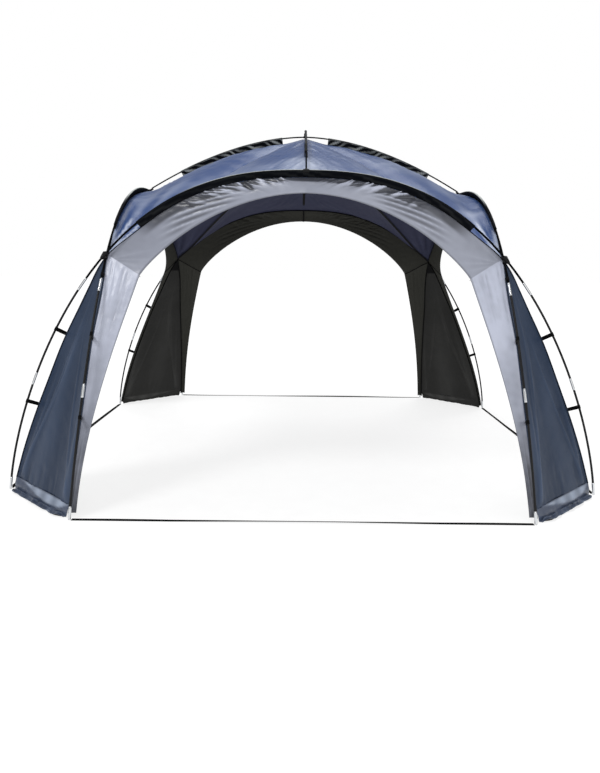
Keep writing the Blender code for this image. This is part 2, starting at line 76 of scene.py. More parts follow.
@dataclass(frozen=True)
class DomeShape:
    """The shape that the poles and all cloth share, for the front side and the right front corner."""

    half_span: float = 1.75
    arch_height: float = 1.884
    width_power: float = 2.5
    height_power: float = 1.52
    offset_top: float = 1.169
    offset_spread: float = 0.077
    crossing_shift: float = 0.0112
    crown_height: float = 2.285
    crown_step: float = 0.022
    roof_pole_power: float = 1.8
    roof_pole_end_height: float = 1.886
    seam_drop: float = 0.035
    ridge_drop: float = 0.042
    crown_peak: float = 0.030
    crown_peak_radius: float = 0.15
    diagonal_bulge: float = 0.22
    roof_sag: float = 0.065

    def half_width(self, height: Points) -> Points:
        """Return how far from the middle the arch stands at a height."""
        share = np.clip(np.asarray(height, float) / self.arch_height, 0.0, 1.0)
        return self.half_span * (1 - share ** self.height_power) ** (1 / self.width_power)

    def height(self, x: Points) -> Points:
        """Return the height of the arch at a distance from its middle."""
        share = np.clip(np.abs(np.asarray(x, float)) / self.half_span, 0.0, 1.0)
        return self.arch_height * (1 - share ** self.width_power) ** (1 / self.height_power)

    def offset(self, height: Points) -> Points:
        """Return how far out from the centre the arch stands at a height."""
        return self.offset_top + self.offset_spread * (1 - np.asarray(height, float) / self.arch_height) ** 2

    def out_of_arch(self, x: Points) -> Points:
        """Return the directions away from the arch's inside, in its own plane."""
        step = 0.002
        rise = self.height(np.asarray(x) + step) - self.height(np.asarray(x) - step)
        length = np.hypot(2 * step, rise)
        return np.stack([-rise / length, np.zeros_like(rise), 2 * step / length], axis=-1)

    def crossing(self) -> float:
        """Return the half width at which two arches cross."""
        x = 1.17
        for _ in range(20):
            x = float(self.offset(self.height(x)))
        return x

    def corner(self) -> Points:
        """Return the cloth's right front corner, just inside the crossing of the arches."""
        x = self.crossing()
        drop = self.out_of_arch(np.array([x]))[0] * self.seam_drop
        return np.array((x - drop[0], -(x - drop[0]), float(self.height(x)) - drop[2]))

    def pulled(self, points: Points) -> Points:
        """Return cloth points drawn towards the nearest crossing of the arches, where the cloth is tied."""
        hand = np.where(points >= 0, 1.0, -1.0)
        away = np.linalg.norm(np.abs(points) - np.abs(self.corner()), axis=-1)
        near = np.exp(-((away / 0.16) ** 2))[..., None]
        return points + near * np.array((0.013, 0.013, 0.024)) * hand

    def arch_seam(self, x: Points) -> Points:
        """Return the seam under the front arch at half widths of the pole."""
        x = np.asarray(x, float)
        height = self.height(x)
        points = np.stack([x, -self.offset(height), height], axis=-1) - self.out_of_arch(x) * self.seam_drop
        crossing = self.crossing()
        near = ease((np.abs(x) - 0.98) / (crossing - 0.98))
        points[..., 1] += near * (self.corner()[1] + self.offset(self.height(crossing)))
        return points

    def leg_seam(self, height: Points) -> Points:
        """Return the seam inside the right leg of the front arch at leg heights."""
        z = np.asarray(height, float)
        low = np.maximum(z - 0.004, 0.0)
        run = np.stack([self.half_width(low) - self.half_width(z + 0.004), z + 0.004 - low], axis=-1)
        run /= np.linalg.norm(run, axis=-1)[..., None]
        gap = leg_gap(z)
        crossing_height = float(self.height(self.crossing()))
        near = ease((z - 0.9) / (crossing_height - 0.9))
        y = -self.offset(z) + near * (self.corner()[1] + self.offset(crossing_height))
        return np.stack([self.half_width(z) - gap * run[..., 1], y, z - gap * run[..., 0]], axis=-1)

    def peak(self, reach: Points) -> Points:
        """Return the extra height of the cloth where the crossing roof poles hold it up."""
        return self.crown_peak * np.clip(1 - np.asarray(reach) / self.crown_peak_radius, 0, 1) ** 1.3

    def roof_pole(self, reach: Points, top: float) -> Points:
        """Return the height of a roof pole at distances from the crown."""
        fall = (top - self.roof_pole_end_height) / self.offset_top ** self.roof_pole_power
        return top - fall * np.abs(reach) ** self.roof_pole_power

    def ridge(self, reach: Points) -> Points:
        """Return the height of the roof under a roof pole at distances from the crown."""
        reach = np.asarray(reach, float)
        start = float(self.arch_seam(np.array([0.0]))[0][2])
        below = self.roof_pole(reach, self.crown_height) - self.ridge_drop
        end = start - (self.roof_pole_end_height - self.ridge_drop)
        near = 1 - ease((self.offset_top - reach) / 0.07)
        return below + end * near + self.peak(reach)

    def diagonal(self, share: Points) -> Points:
        """Return the roof seam from the right front corner to the crown."""
        t = np.asarray(share, float)
        corner = self.corner()
        flat = corner[None, :] * (1 - t)[:, None]
        reach = np.hypot(flat[:, 0], flat[:, 1])
        rise = self.crown_height - self.ridge_drop - corner[2]
        height = corner[2] + rise * t + self.diagonal_bulge * t * (1 - t) + self.peak(reach)
        return np.stack([flat[:, 0], flat[:, 1], height], axis=-1)


def ease(value: Points) -> Points:
    """Return a smooth step from 0 to 1."""
    value = np.clip(value, 0.0, 1.0)
    return value * value * (3 - 2 * value)


def leg_gap(height: Points) -> Points:
    """Return how far a leg seam hangs inside its bowed leg at heights above the ground."""
    z = np.asarray(height, float)
    knots = np.array((0.0, 0.12, 0.25, 0.45, 0.7, 0.9, 1.1, 1.22, 1.30, 1.40))
    gaps = np.array((0.017, 0.034, 0.047, 0.063, 0.074, 0.068, 0.056, 0.042, 0.035, 0.035))
    slopes = np.gradient(gaps, knots)
    index = np.clip(np.searchsorted(knots, z) - 1, 0, len(knots) - 2)
    width = knots[index + 1] - knots[index]
    t = np.clip((z - knots[index]) / width, 0, 1)
    a = (2 * t ** 3 - 3 * t ** 2 + 1) * gaps[index] + (t ** 3 - 2 * t ** 2 + t) * width * slopes[index]
    return a + (3 * t ** 2 - 2 * t ** 3) * gaps[index + 1] + (t ** 3 - t ** 2) * width * slopes[index + 1]


def bezier(points: tuple[Points, ...], share: Points) -> Points:
    """Return points of a cubic curve."""
    a, b, c, d = points
    t = np.asarray(share, float)[:, None]
    return (1 - t) ** 3 * a + 3 * (1 - t) ** 2 * t * b + 3 * (1 - t) * t ** 2 * c + t ** 3 * d


def along(curve: Points, share: Points) -> Points:
    """Return the points at shares of a curve's length."""
    steps = np.linalg.norm(np.diff(curve, axis=0), axis=1)
    lengths = np.concatenate([[0.0], np.cumsum(steps)]) / steps.sum()
    return np.stack([np.interp(share, lengths, curve[:, k]) for k in range(3)], axis=-1)


def swap(points: Points) -> Points:
    """Mirror points across the diagonal of the right front corner."""
    return np.stack([-points[..., 1], -points[..., 0], points[..., 2]], axis=-1)


def quarter_turn(quarter: int) -> Matrix:
    """Return the turn that takes the front side to another side."""
    return Matrix.Rotation(math.pi / 2 * quarter, 4, "Z")


# Finishes.


def linear(code: str) -> tuple[float, float, float, float]:
    """Turn an sRGB hex colour into linear light.

    Args:
        code: Six hex digits after a number sign.

    Returns:
        Red, green, blue and full opacity.
    """
    values = [int(code[i:i + 2], 16) / 255 for i in (1, 3, 5)]
    light = [v / 12.92 if v <= 0.04045 else ((v + 0.055) / 1.055) ** 2.4 for v in values]
    return (light[0], light[1], light[2], 1.0)


def add_node(tree: bpy.types.NodeTree, kind: str, links: dict | None = None, **settings: object) -> bpy.types.Node:
    """Add one node with its settings and its incoming links.

    Args:
        tree: The material's node tree.
        kind: The node's type name.
        links: Input name or number to the output socket that feeds it.
        settings: Node properties, or input values by name with underscores for spaces.

    Returns:
        The new node.
    """
    node = tree.nodes.new(kind)
    for name, value in settings.items():
        if hasattr(node, name):
            setattr(node, name, value)
        else:
            node.inputs[name.replace("_", " ")].default_value = value
    for name, socket in (links or {}).items():
        tree.links.new(socket, node.inputs[name])
    return node


@dataclass(frozen=True)
class Taffeta:
    """Coated polyester taffeta: tightly woven, satiny, with fine creases from its bag."""

    name: str
    colour: str
    second: str
    roughness: float = 0.42
    crease_mm: float = 55.0
    crease_depth: float = 0.35
    weave_mm: float = 3.0
    sheen: float = 0.1
    specular: float = 0.5

    def make(self) -> bpy.types.Material:
        """Return the material, made once."""
        found = bpy.data.materials.get(self.name)
        if found:
            return found
        made = bpy.data.materials.new(self.name)
        made.use_nodes = True
        tree = made.node_tree
        shader = tree.nodes["Principled BSDF"]
        place = add_node(tree, "ShaderNodeTexCoord").outputs["Object"]
        cloth = add_node(tree, "ShaderNodeUVMap", uv_map="cloth").outputs["UV"]
        tint = add_node(tree, "ShaderNodeVertexColor", layer_name="tint").outputs["Color"]
        cloud = add_node(tree, "ShaderNodeTexNoise", {"Vector": place}, Scale=2.2, Detail=4.0)
        # The tint attribute mixes the first colour towards the second: on the cloth pieces it carries painted
        # highlights on fold ridges and painted shade in their hollows and under the sleeves.
        base = add_node(tree, "ShaderNodeMix", {0: tint}, data_type="RGBA")
        base.inputs[6].default_value = linear(self.colour)
        base.inputs[7].default_value = linear(self.second)
        shade = add_node(tree, "ShaderNodeMapRange", {"Value": cloud.outputs["Fac"]}, To_Min=0.90, To_Max=1.10)
        toned = add_node(tree, "ShaderNodeMix", {6: base.outputs[2], 7: shade.outputs["Result"]},
                         data_type="RGBA", blend_type="MULTIPLY")
        toned.inputs[0].default_value = 1.0
        tree.links.new(toned.outputs[2], shader.inputs["Base Color"])
        shader.inputs["Sheen Weight"].default_value = self.sheen
        shader.inputs["Specular IOR Level"].default_value = self.specular
        shader.inputs["IOR"].default_value = 1.5
        # Bag creases: flat facets a few centimetres across that catch the light one by one.
        crumple = add_node(tree, "ShaderNodeTexVoronoi", {"Vector": place}, feature="SMOOTH_F1",
                           Scale=1000 / self.crease_mm, Smoothness=0.35)
        wobble = add_node(tree, "ShaderNodeTexNoise", {"Vector": place}, Scale=1000 / self.crease_mm * 0.6,
                          Detail=5.0, Distortion=0.8)
        # The real threads are 0.1 mm apart; they are drawn coarser so that they show at all.
        weave = add_node(tree, "ShaderNodeTexWave", {"Vector": cloth}, Scale=1000 / self.weave_mm / 6.28,
                         bands_direction="DIAGONAL", Distortion=0.4)
        height = add_node(tree, "ShaderNodeMath", {0: crumple.outputs["Distance"], 1: wobble.outputs["Fac"]},
                          operation="ADD")
        first = add_node(tree, "ShaderNodeBump", {"Height": height.outputs["Value"]},
                         Strength=self.crease_depth, Distance=0.004)
        second = add_node(tree, "ShaderNodeBump", {"Height": weave.outputs["Fac"], "Normal": first.outputs["Normal"]},
                          Strength=0.12, Distance=0.0006)
        tree.links.new(second.outputs["Normal"], shader.inputs["Normal"])
        rough = add_node(tree, "ShaderNodeMapRange", {"Value": wobble.outputs["Fac"]},
                         To_Min=self.roughness - 0.06, To_Max=self.roughness + 0.08)
        tree.links.new(rough.outputs["Result"], shader.inputs["Roughness"])
        return made


@dataclass(frozen=True)
class Solid:
    """A rod, webbing, metal or moulded finish with fine grain of a stated size."""

    name: str
    colour: str
    roughness: float
    metallic: float = 0.0
    grain_mm: float = 1.0
    grain_depth: float = 0.15
    coat: float = 0.0
    ribbed: bool = False
    glow: float = 0.0
    specular: float = 0.5

    def make(self) -> bpy.types.Material:
        """Return the material, made once."""
        found = bpy.data.materials.get(self.name)
        if found:
            return found
        made = bpy.data.materials.new(self.name)
        made.use_nodes = True
        tree = made.node_tree
        shader = tree.nodes["Principled BSDF"]
        place = add_node(tree, "ShaderNodeTexCoord").outputs["Object"]
        grain = add_node(tree, "ShaderNodeTexNoise", {"Vector": place}, Scale=1000 / self.grain_mm, Detail=3.0)
        height = grain.outputs["Fac"]
        if self.ribbed:
            cloth = add_node(tree, "ShaderNodeUVMap", uv_map="cloth").outputs["UV"]
            rib = add_node(tree, "ShaderNodeTexWave", {"Vector": cloth}, Scale=1000 / (self.grain_mm * 6.28),
                           bands_direction="Y")
            height = rib.outputs["Fac"]
        wear = add_node(tree, "ShaderNodeTexNoise", {"Vector": place}, Scale=9.0, Detail=4.0)
        tone = add_node(tree, "ShaderNodeMapRange", {"Value": wear.outputs["Fac"]}, To_Min=0.85, To_Max=1.15)
        base = add_node(tree, "ShaderNodeMix", {7: tone.outputs["Result"]}, data_type="RGBA",
                        blend_type="MULTIPLY")
        base.inputs[0].default_value = 1.0
        base.inputs[6].default_value = linear(self.colour)
        tree.links.new(base.outputs[2], shader.inputs["Base Color"])
        shader.inputs["Metallic"].default_value = self.metallic
        shader.inputs["Emission Color"].default_value = (1.0, 1.0, 1.0, 1.0)
        shader.inputs["Emission Strength"].default_value = self.glow
        shader.inputs["Specular IOR Level"].default_value = self.specular
        shader.inputs["Coat Weight"].default_value = self.coat
        rough = add_node(tree, "ShaderNodeMapRange", {"Value": wear.outputs["Fac"]},
                         To_Min=max(self.roughness - 0.05, 0.02), To_Max=self.roughness + 0.07)
        tree.links.new(rough.outputs["Result"], shader.inputs["Roughness"])
        bump = add_node(tree, "ShaderNodeBump", {"Height": height}, Strength=self.grain_depth, Distance=0.0005)
        tree.links.new(bump.outputs["Normal"], shader.inputs["Normal"])
        return made


# Blue-grey roof cloth; its pale second colour is painted highlight on fold streaks and ridges.
ROOF_OUTSIDE = Taffeta("blue_grey_polyester_taffeta", "#385286", "#C0CADF", 0.36, sheen=0.03, specular=0.28)
# Inside of the roof: navy coated back, darkened with painted shade of the tent's inside.
ROOF_INSIDE = Taffeta("navy_coated_back_with_painted_shade", "#2D2F42", "#34374B", 0.7, sheen=0.0, specular=0.12)
# Doorway cloth mixed from dark to pale grey by the tint: paler up the leg strips, darker towards the feet, with
# painted shade under the sleeves and painted highlights and shade on the folds.
DOOR_OUTSIDE = Taffeta("pale_grey_polyester_satin", "#3C3E46", "#BCC1D2", 0.30, sheen=0.05)
# Inside of the doorway cloth: olive-black coated back, darkened with painted shade of the tent's inside.
DOOR_INSIDE = Taffeta("olive_coated_back_with_painted_shade", "#2D2D29", "#353531", 0.75, sheen=0.0, specular=0.1)
# Slate corner cloth; its paler second colour is painted highlight on the ridges of the pulls.
CORNER_OUTSIDE = Taffeta("slate_polyester_taffeta", "#28354A", "#4F5C73", 0.45, crease_depth=0.2, sheen=0.0,
                         specular=0.18)
# Inside of the corner cloth and skirt: black coated back, its dark grey also painted shade of the tent's inside.
CORNER_INSIDE = Taffeta("black_coated_back_with_painted_shade", "#2B2B2A", "#414140", 0.75, sheen=0.0, specular=0.1)
# Slate skirt cloth; its pale second colour is painted light from above on the skirt's top and painted highlights on
# its ridges.
SKIRT_CLOTH = Taffeta("slate_polyester_skirt", "#3A465D", "#9AA6BA", 0.33, crease_depth=0.6)
# Black sleeve cloth; its pale second colour is a painted highlight along the top of the pole and on the puckers.
SLEEVE_CLOTH = Taffeta("black_polyester_oxford", "#090B10", "#D5DAD8", 0.6, crease_mm=30, sheen=0.0, specular=0.03)
TAPE = Solid("black_polypropylene_webbing", "#060607", 0.75, grain_mm=2.5, ribbed=True, specular=0.12)
ROD = Solid("black_fibreglass_rod", "#08090B", 0.7, grain_mm=2.0, specular=0.04)
LEG_STEEL = Solid("black_powder_coated_steel", "#0A0B0D", 0.5, grain_mm=1.2, specular=0.3)
FERRULE_STEEL = Solid("zinc_plated_steel", "#D9DBDD", 0.28, metallic=1.0, grain_mm=1.5)
NYLON = Solid("black_moulded_nylon", "#08080A", 0.55, grain_mm=1.0, specular=0.25)
FLOOR = Solid("pale_matt_floor_paint", "#8E8E8E", 0.9, grain_mm=8.0, grain_depth=0.0, glow=0.80)


# Making pieces.


def shaped_grid(bm: bmesh.types.BMesh, columns: int, rows: int, place: Callable[[Points, Points], Points],
                ripple: Callable[[Points, Points, Points], Points] | None = None,
                tint: Callable[[Points, Points, Points, Points], Points] | None = None,
                size: tuple[float, float] = (1.0, 1.0), away: Vector | None = None) -> list[bmesh.types.BMVert]:
    """Create a grid and move its vertices onto a surface.

    Args:
        bm: The mesh that is being made.
        columns: Steps along u.
        rows: Steps along v.
        place: Surface point for each u and v from 0 to 1.
        ripple: Height above the surface for each u, v and point.
        tint: Share of the second colour for each u, v, point and ripple height.
        size: Cloth length along u and v, in metres, for the weave.
        away: Direction that the faces look, on the whole.

    Returns:
        The grid's vertices.
    """
    cloth = bm.loops.layers.uv.get("cloth") or bm.loops.layers.uv.new("cloth")
    colour = bm.loops.layers.float_color.get("tint") or bm.loops.layers.float_color.new("tint")
    made = bmesh.ops.create_grid(bm, x_segments=columns, y_segments=rows, size=0.5)
    verts = made["verts"]
    u = np.clip(np.array([v.co.x for v in verts]) + 0.5, 0, 1)
    v = np.clip(np.array([v.co.y for v in verts]) + 0.5, 0, 1)
    points = place(u, v)
    for vert, point in zip(verts, points):
        vert.co = Vector(point)
    faces = list({face for vert in verts for face in vert.link_faces})
    bm.normal_update()
    if away and sum(face.normal.dot(away) * face.calc_area() for face in faces) < 0:
        bmesh.ops.reverse_faces(bm, faces=faces)
        bm.normal_update()
    heights = np.zeros(len(verts))
    if ripple:
        heights = ripple(u, v, points)
        for vert, normal, height in zip(verts, [v.normal.copy() for v in verts], heights):
            vert.co += normal * float(height)
    shares = np.clip(tint(u, v, points, heights), 0, 1) if tint else np.full(len(verts), 0.0)
    lookup = {vert: k for k, vert in enumerate(verts)}
    for face in faces:
        face.smooth = True
        for loop in face.loops:
            k = lookup[loop.vert]
            loop[cloth].uv = (u[k] * size[0], v[k] * size[1])
            loop[colour] = (shares[k],) * 3 + (1.0,)
    return verts


def finish_mesh(name: str, bm: bmesh.types.BMesh, finishes: tuple[Taffeta | Solid, ...],
                nodes: tuple[str, ...] = ()) -> bpy.types.Object:
    """Turn a bmesh into a piece that rides on the frame.

    Args:
        name: The piece's name.
        bm: Its mesh, freed here.
        finishes: Its materials in slot order.
        nodes: CAD nodes that it stands for.

    Returns:
        The new object.
    """
    mesh = bpy.data.meshes.new(name)
    bm.to_mesh(mesh)
    bm.free()
    piece = bpy.data.objects.new(name, mesh)
    bpy.context.collection.objects.link(piece)
    for finish in finishes:
        mesh.materials.append(finish.make())
    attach(piece, "root")
    if nodes:
        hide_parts(*nodes)
    LOG.info("%s: %d faces", name, len(mesh.polygons))
    return piece


def thicken(piece: bpy.types.Object, thickness: float, build: Build) -> None:
    """Give a cloth surface its two sides, the inner one with the second material, a dark coated back with painted
    shade, if it is backed and shaded.
    """
    solidify = piece.modifiers.new("cloth", "SOLIDIFY")
    solidify.thickness = thickness
    solidify.offset = -1.0
    solidify.use_even_offset = False
    if build is Build.BACKED_AND_SHADED:
        solidify.material_offset = 1
        solidify.material_offset_rim = 0


def tube(bm: bmesh.types.BMesh, path: Points, side: Points, radii: Points, sides: int = 14,
         profile: Callable[[Points, Points], tuple[Points, Points]] | None = None, capped: bool = True,
         tint: Callable[[Points, Points, Points, Points], Points] | None = None) -> None:
    """Sweep a round or shaped section along a path.

    Args:
        bm: The mesh that is being made.
        path: Points along the middle.
        side: Direction across the path's own plane.
        radii: Radius at each point.
        sides: Steps round the section.
        profile: Turns angle and share of the path into out and side positions, instead of a circle.
        capped: Whether the ends are closed.
        tint: Share of the second colour round and along the tube.
    """
    steps = np.gradient(path, axis=0)
    steps /= np.linalg.norm(steps, axis=1)[:, None]
    out = np.cross(side, steps)
    out /= np.linalg.norm(out, axis=1)[:, None]
    cross = np.cross(steps, out)
    count = len(path)

    def place(u: Points, v: Points) -> Points:
        index = np.rint(v * (count - 1)).astype(int)
        angle = 2 * math.pi * u
        if profile:
            a, b = profile(angle, index)
        else:
            a, b = radii[index] * np.cos(angle), radii[index] * np.sin(angle)
        return path[index] + out[index] * a[:, None] + cross[index] * b[:, None]

    length = float(np.linalg.norm(np.diff(path, axis=0), axis=1).sum())
    verts = shaped_grid(bm, sides, count - 1, place, None, tint, (2 * math.pi * float(np.max(radii)), length))
    bmesh.ops.remove_doubles(bm, verts=verts, dist=1e-6)
    if capped:
        bmesh.ops.holes_fill(bm, edges=[e for e in bm.edges if e.is_boundary], sides=0)
        bmesh.ops.recalc_face_normals(bm, faces=bm.faces)


def wander(points: Points, scale: float, seed: int) -> Points:
    """Return smooth uneven waves from -1 to 1 over points, about one wave per scale in metres."""
    draw = np.random.default_rng(seed)
    total = np.zeros(len(points))
    for _ in range(9):
        way = draw.normal(size=3)
        way /= np.linalg.norm(way)
        total += np.sin(points @ way * 2 * math.pi / (scale * draw.uniform(0.7, 1.6)) + draw.uniform(0, 6.28))
    return total / 4.5


def pleats(phase: Points) -> Points:
    """Return pulled folds from -1 to 1: sharp ridges with round hollows between them."""
    return 1 - 2 * np.abs(np.sin(phase / 2)) ** 0.75


def creases(position: Points, depth: Points, span: tuple[float, float], count: int, seed: int,
            width: tuple[float, float], lean: tuple[float, float], reach: tuple[float, float]) -> Points:
    """Return short gathers that start at a seam and fade away from it.

    Args:
        position: Place along the seam, in metres.
        depth: Distance from the seam, in metres.
        span: Where along the seam the gathers lie.
        count: How many there are.
        seed: Seed of their draws.
        width: Least and greatest half width of one gather.
        lean: Least and greatest sideways run for each metre away from the seam.
        reach: Least and greatest length.

    Returns:
        Heights from -1 to 1.
    """
    draw = np.random.default_rng(seed)
    total = np.zeros(len(position))
    for _ in range(count):
        start = draw.uniform(*span)
        half = draw.uniform(*width)
        slope = draw.uniform(*lean)
        length = draw.uniform(*reach)
        sign = draw.choice((-1.0, 1.0)) * draw.uniform(0.5, 1.0)
        off = (position - start - slope * depth) / (half * (1 + 1.5 * depth / length))
        total += sign * np.exp(-off * off) * np.clip(1 - depth / length, 0, 1)
    return total


# Frame.


@dataclass
class PoleFrame:
    """The four arches, each an upper rod on two steel legs, and the two roof poles."""

    shape: DomeShape
    leg_radius: float = 0.0065
    ferrule_radius: float = 0.0075
    foot_radius: float = 0.0080
    foot_height: float = 0.072
    ferrules: tuple[tuple[float, float], ...] = ((0.63, 0.70), (1.19, 1.26))
    rod_radius: float = 0.00635
    roof_rod_radius: float = 0.005

    def build(self) -> None:
        """Make every pole."""
        for quarter, side in enumerate(QUARTERS):
            shift = self.shape.crossing_shift * (1 if quarter % 2 == 0 else -1)
            self.upper_rod(f"{side}_arch_rod", quarter, shift, f"{side}_arch_pole")
            for sign, hand in ((-1, "left"), (1, "right")):
                self.leg(f"{side}_{hand}_leg", quarter, shift, sign, f"{side}_arch_{hand}_leg")
        end = self.shape.offset_top - 0.018
        self.roof_rod("upper_roof_rod", end + self.shape.crossing_shift, self.shape.crown_step, 1,
                      "roof_pole_front_back")
        self.roof_rod("lower_roof_rod", end - self.shape.crossing_shift, 0.0, 0, "roof_pole_left_right")

    def arch_path(self, shift: float, reach: float, count: int) -> Points:
        """Return points of the front arch between two half widths."""
        x = np.linspace(-reach, reach, count)
        z = self.shape.height(x)
        return np.stack([x, -(self.shape.offset(z) + shift), z], axis=-1)

    def leg_path(self, shift: float, sign: int, low: float, high: float, count: int) -> Points:
        """Return points of one leg of the front arch between two heights."""
        z = np.linspace(low, high, count)
        return np.stack([sign * self.shape.half_width(z), -(self.shape.offset(z) + shift), z], axis=-1)

    def upper_rod(self, name: str, quarter: int, shift: float, node: str) -> None:
        """Make the fibreglass rod over one doorway, in joined lengths."""
        reach = float(self.shape.half_width(np.array(self.ferrules[1][1])))
        path = self.arch_path(shift, reach, 97)
        bm = bmesh.new()
        tube(bm, path, np.array((0.0, -1.0, 0.0)), np.full(len(path), self.rod_radius))
        bmesh.ops.transform(bm, matrix=quarter_turn(quarter), verts=bm.verts)
        finish_mesh(name, bm, (ROD,), (node,))

    def leg(self, name: str, quarter: int, shift: float, sign: int, node: str) -> None:
        """Make one steel leg and its bright ferrules and foot tip."""
        side = np.array((0.0, float(sign), 0.0))
        path = self.leg_path(shift, sign, 0.001, self.ferrules[1][1], 49)
        bm = bmesh.new()
        tube(bm, path, side, np.full(len(path), self.leg_radius))
        bmesh.ops.transform(bm, matrix=quarter_turn(quarter), verts=bm.verts)
        finish_mesh(name, bm, (LEG_STEEL,), (node,))
        bm = bmesh.new()
        for low, high in ((0.001, self.foot_height),) + self.ferrules:
            radius = self.foot_radius if low < 0.01 else self.ferrule_radius
            part = bmesh.new()
            path = self.leg_path(shift, sign, low, high, 9)
            radii = np.full(9, radius)
            radii[[0, -1]] -= 0.0007
            tube(part, path, side, radii)
            spare = bpy.data.meshes.new("spare")
            part.to_mesh(spare)
            part.free()
            bm.from_mesh(spare)
            bpy.data.meshes.remove(spare)
        bmesh.ops.transform(bm, matrix=quarter_turn(quarter), verts=bm.verts)
        finish_mesh(f"{name}_ferrules", bm, (FERRULE_STEEL,))

    def roof_path(self, end: float, step: float, axis: int, count: int) -> Points:
        """Return points of one roof pole; axis 0 runs left to right, axis 1 front to back."""
        reach = np.linspace(-end, end, count)
        height = self.shape.roof_pole(reach, self.shape.crown_height + step)
        path = np.zeros((count, 3))
        path[:, axis] = reach
        path[:, 2] = height
        return path

    def roof_rod(self, name: str, end: float, step: float, axis: int, node: str) -> None:
        """Make one roof pole."""
        path = self.roof_path(end, step, axis, 73)
        side = np.array((0.0, -1.0, 0.0)) if axis == 0 else np.array((1.0, 0.0, 0.0))
        bm = bmesh.new()
        tube(bm, path, side, np.full(len(path), self.roof_rod_radius))
        finish_mesh(name, bm, (ROD,), (node,))


@dataclass
class Fittings:
    """The moulded clips at the crossings, the sockets on the arches and the crown's clip."""

    shape: DomeShape
    frame: PoleFrame

    def build(self) -> None:
        """Make every fitting."""
        crossing = self.shape.crossing()
        height = float(self.shape.height(crossing))
        slope = float(self.shape.height(crossing - 0.01) - self.shape.height(crossing + 0.01)) / 0.02
        run = Vector((1.0, 0.0, -slope)).normalized()
        other = Vector((0.0, -1.0, -slope)).normalized()
        for quarter, corner in enumerate(CORNERS):
            bm = bmesh.new()
            axes = Matrix((run + other, run - other, (run + other).cross(run - other))).transposed()
            axes = Matrix([Vector(axes.col[k]).normalized() for k in range(3)]).transposed()
            self.block(bm, Vector((crossing, -crossing, height)), axes, (0.044, 0.030, 0.028))
            sign = 1 if quarter % 2 == 0 else -1
            shift = self.shape.crossing_shift * sign
            self.collar(bm, Vector((crossing, -crossing - shift, height)), run, 0.0095, 0.052)
            self.collar(bm, Vector((crossing - shift, -crossing, height)), other, 0.0095, 0.052)
            bmesh.ops.transform(bm, matrix=quarter_turn(quarter), verts=bm.verts)
            finish_mesh(f"{corner}_crossing_clip", bm, (NYLON,), (f"{corner}_clip",))
        for quarter, side in enumerate(QUARTERS):
            shift = self.shape.crossing_shift * (1 if quarter % 2 == 0 else -1)
            bm = bmesh.new()
            top = Vector((0.0, -(self.shape.offset_top + shift), self.shape.arch_height))
            self.collar(bm, top, Vector((1.0, 0.0, 0.0)), 0.0118, 0.036)
            stub = Vector((0.0, 1.0, 0.62)).normalized()
            self.collar(bm, top + stub * 0.020 + Vector((0.0, 0.0, 0.001)), stub, 0.0075, 0.026)
            bmesh.ops.transform(bm, matrix=quarter_turn(quarter), verts=bm.verts)
            finish_mesh(f"{side}_rod_socket", bm, (NYLON,), (f"{side}_arch_socket",))
        bm = bmesh.new()
        top = self.shape.crown_height + self.shape.crown_step / 2
        self.block(bm, Vector((0.0, 0.0, top)), Matrix.Identity(3), (0.020, 0.020, 0.034))
        self.collar(bm, Vector((0.0, 0.0, self.shape.crown_height)), Vector((1.0, 0.0, 0.0)), 0.0075, 0.030)
        self.collar(bm, Vector((0.0, 0.0, self.shape.crown_height + self.shape.crown_step)),
                    Vector((0.0, 1.0, 0.0)), 0.0075, 0.030)
        finish_mesh("crown_clip", bm, (NYLON,), ("crown_hub",))

    @staticmethod
    def block(bm: bmesh.types.BMesh, centre: Vector, axes: Matrix, size: tuple[float, float, float]) -> None:
        """Add a rounded block."""
        made = bmesh.ops.create_cube(bm, size=1.0)["verts"]
        bmesh.ops.scale(bm, vec=Vector(size), verts=made)
        bmesh.ops.transform(bm, matrix=Matrix.Translation(centre) @ axes.to_4x4(), verts=made)
        edges = list({edge for vert in made for edge in vert.link_edges})
        bmesh.ops.bevel(bm, geom=edges, offset=min(size) * 0.22, segments=3, profile=0.5, affect="EDGES",
                        material=-1)

    @staticmethod
    def collar(bm: bmesh.types.BMesh, centre: Vector, run: Vector, radius: float, length: float) -> None:
        """Add a round collar with softened rims."""
        made = bmesh.ops.create_cone(bm, cap_ends=True, cap_tris=False, segments=18, radius1=radius,
                                     radius2=radius, depth=length)["verts"]
        turn = Vector((0.0, 0.0, 1.0)).rotation_difference(run).to_matrix().to_4x4()
        rims = list({edge for vert in made for edge in vert.link_edges
                     if len({round(v.co.z, 6) for v in edge.verts}) == 1})
        bmesh.ops.transform(bm, matrix=Matrix.Translation(centre) @ turn, verts=made)
        bmesh.ops.bevel(bm, geom=rims, offset=radius * 0.18, segments=2, profile=0.5, affect="EDGES", material=-1)


# Cloth.


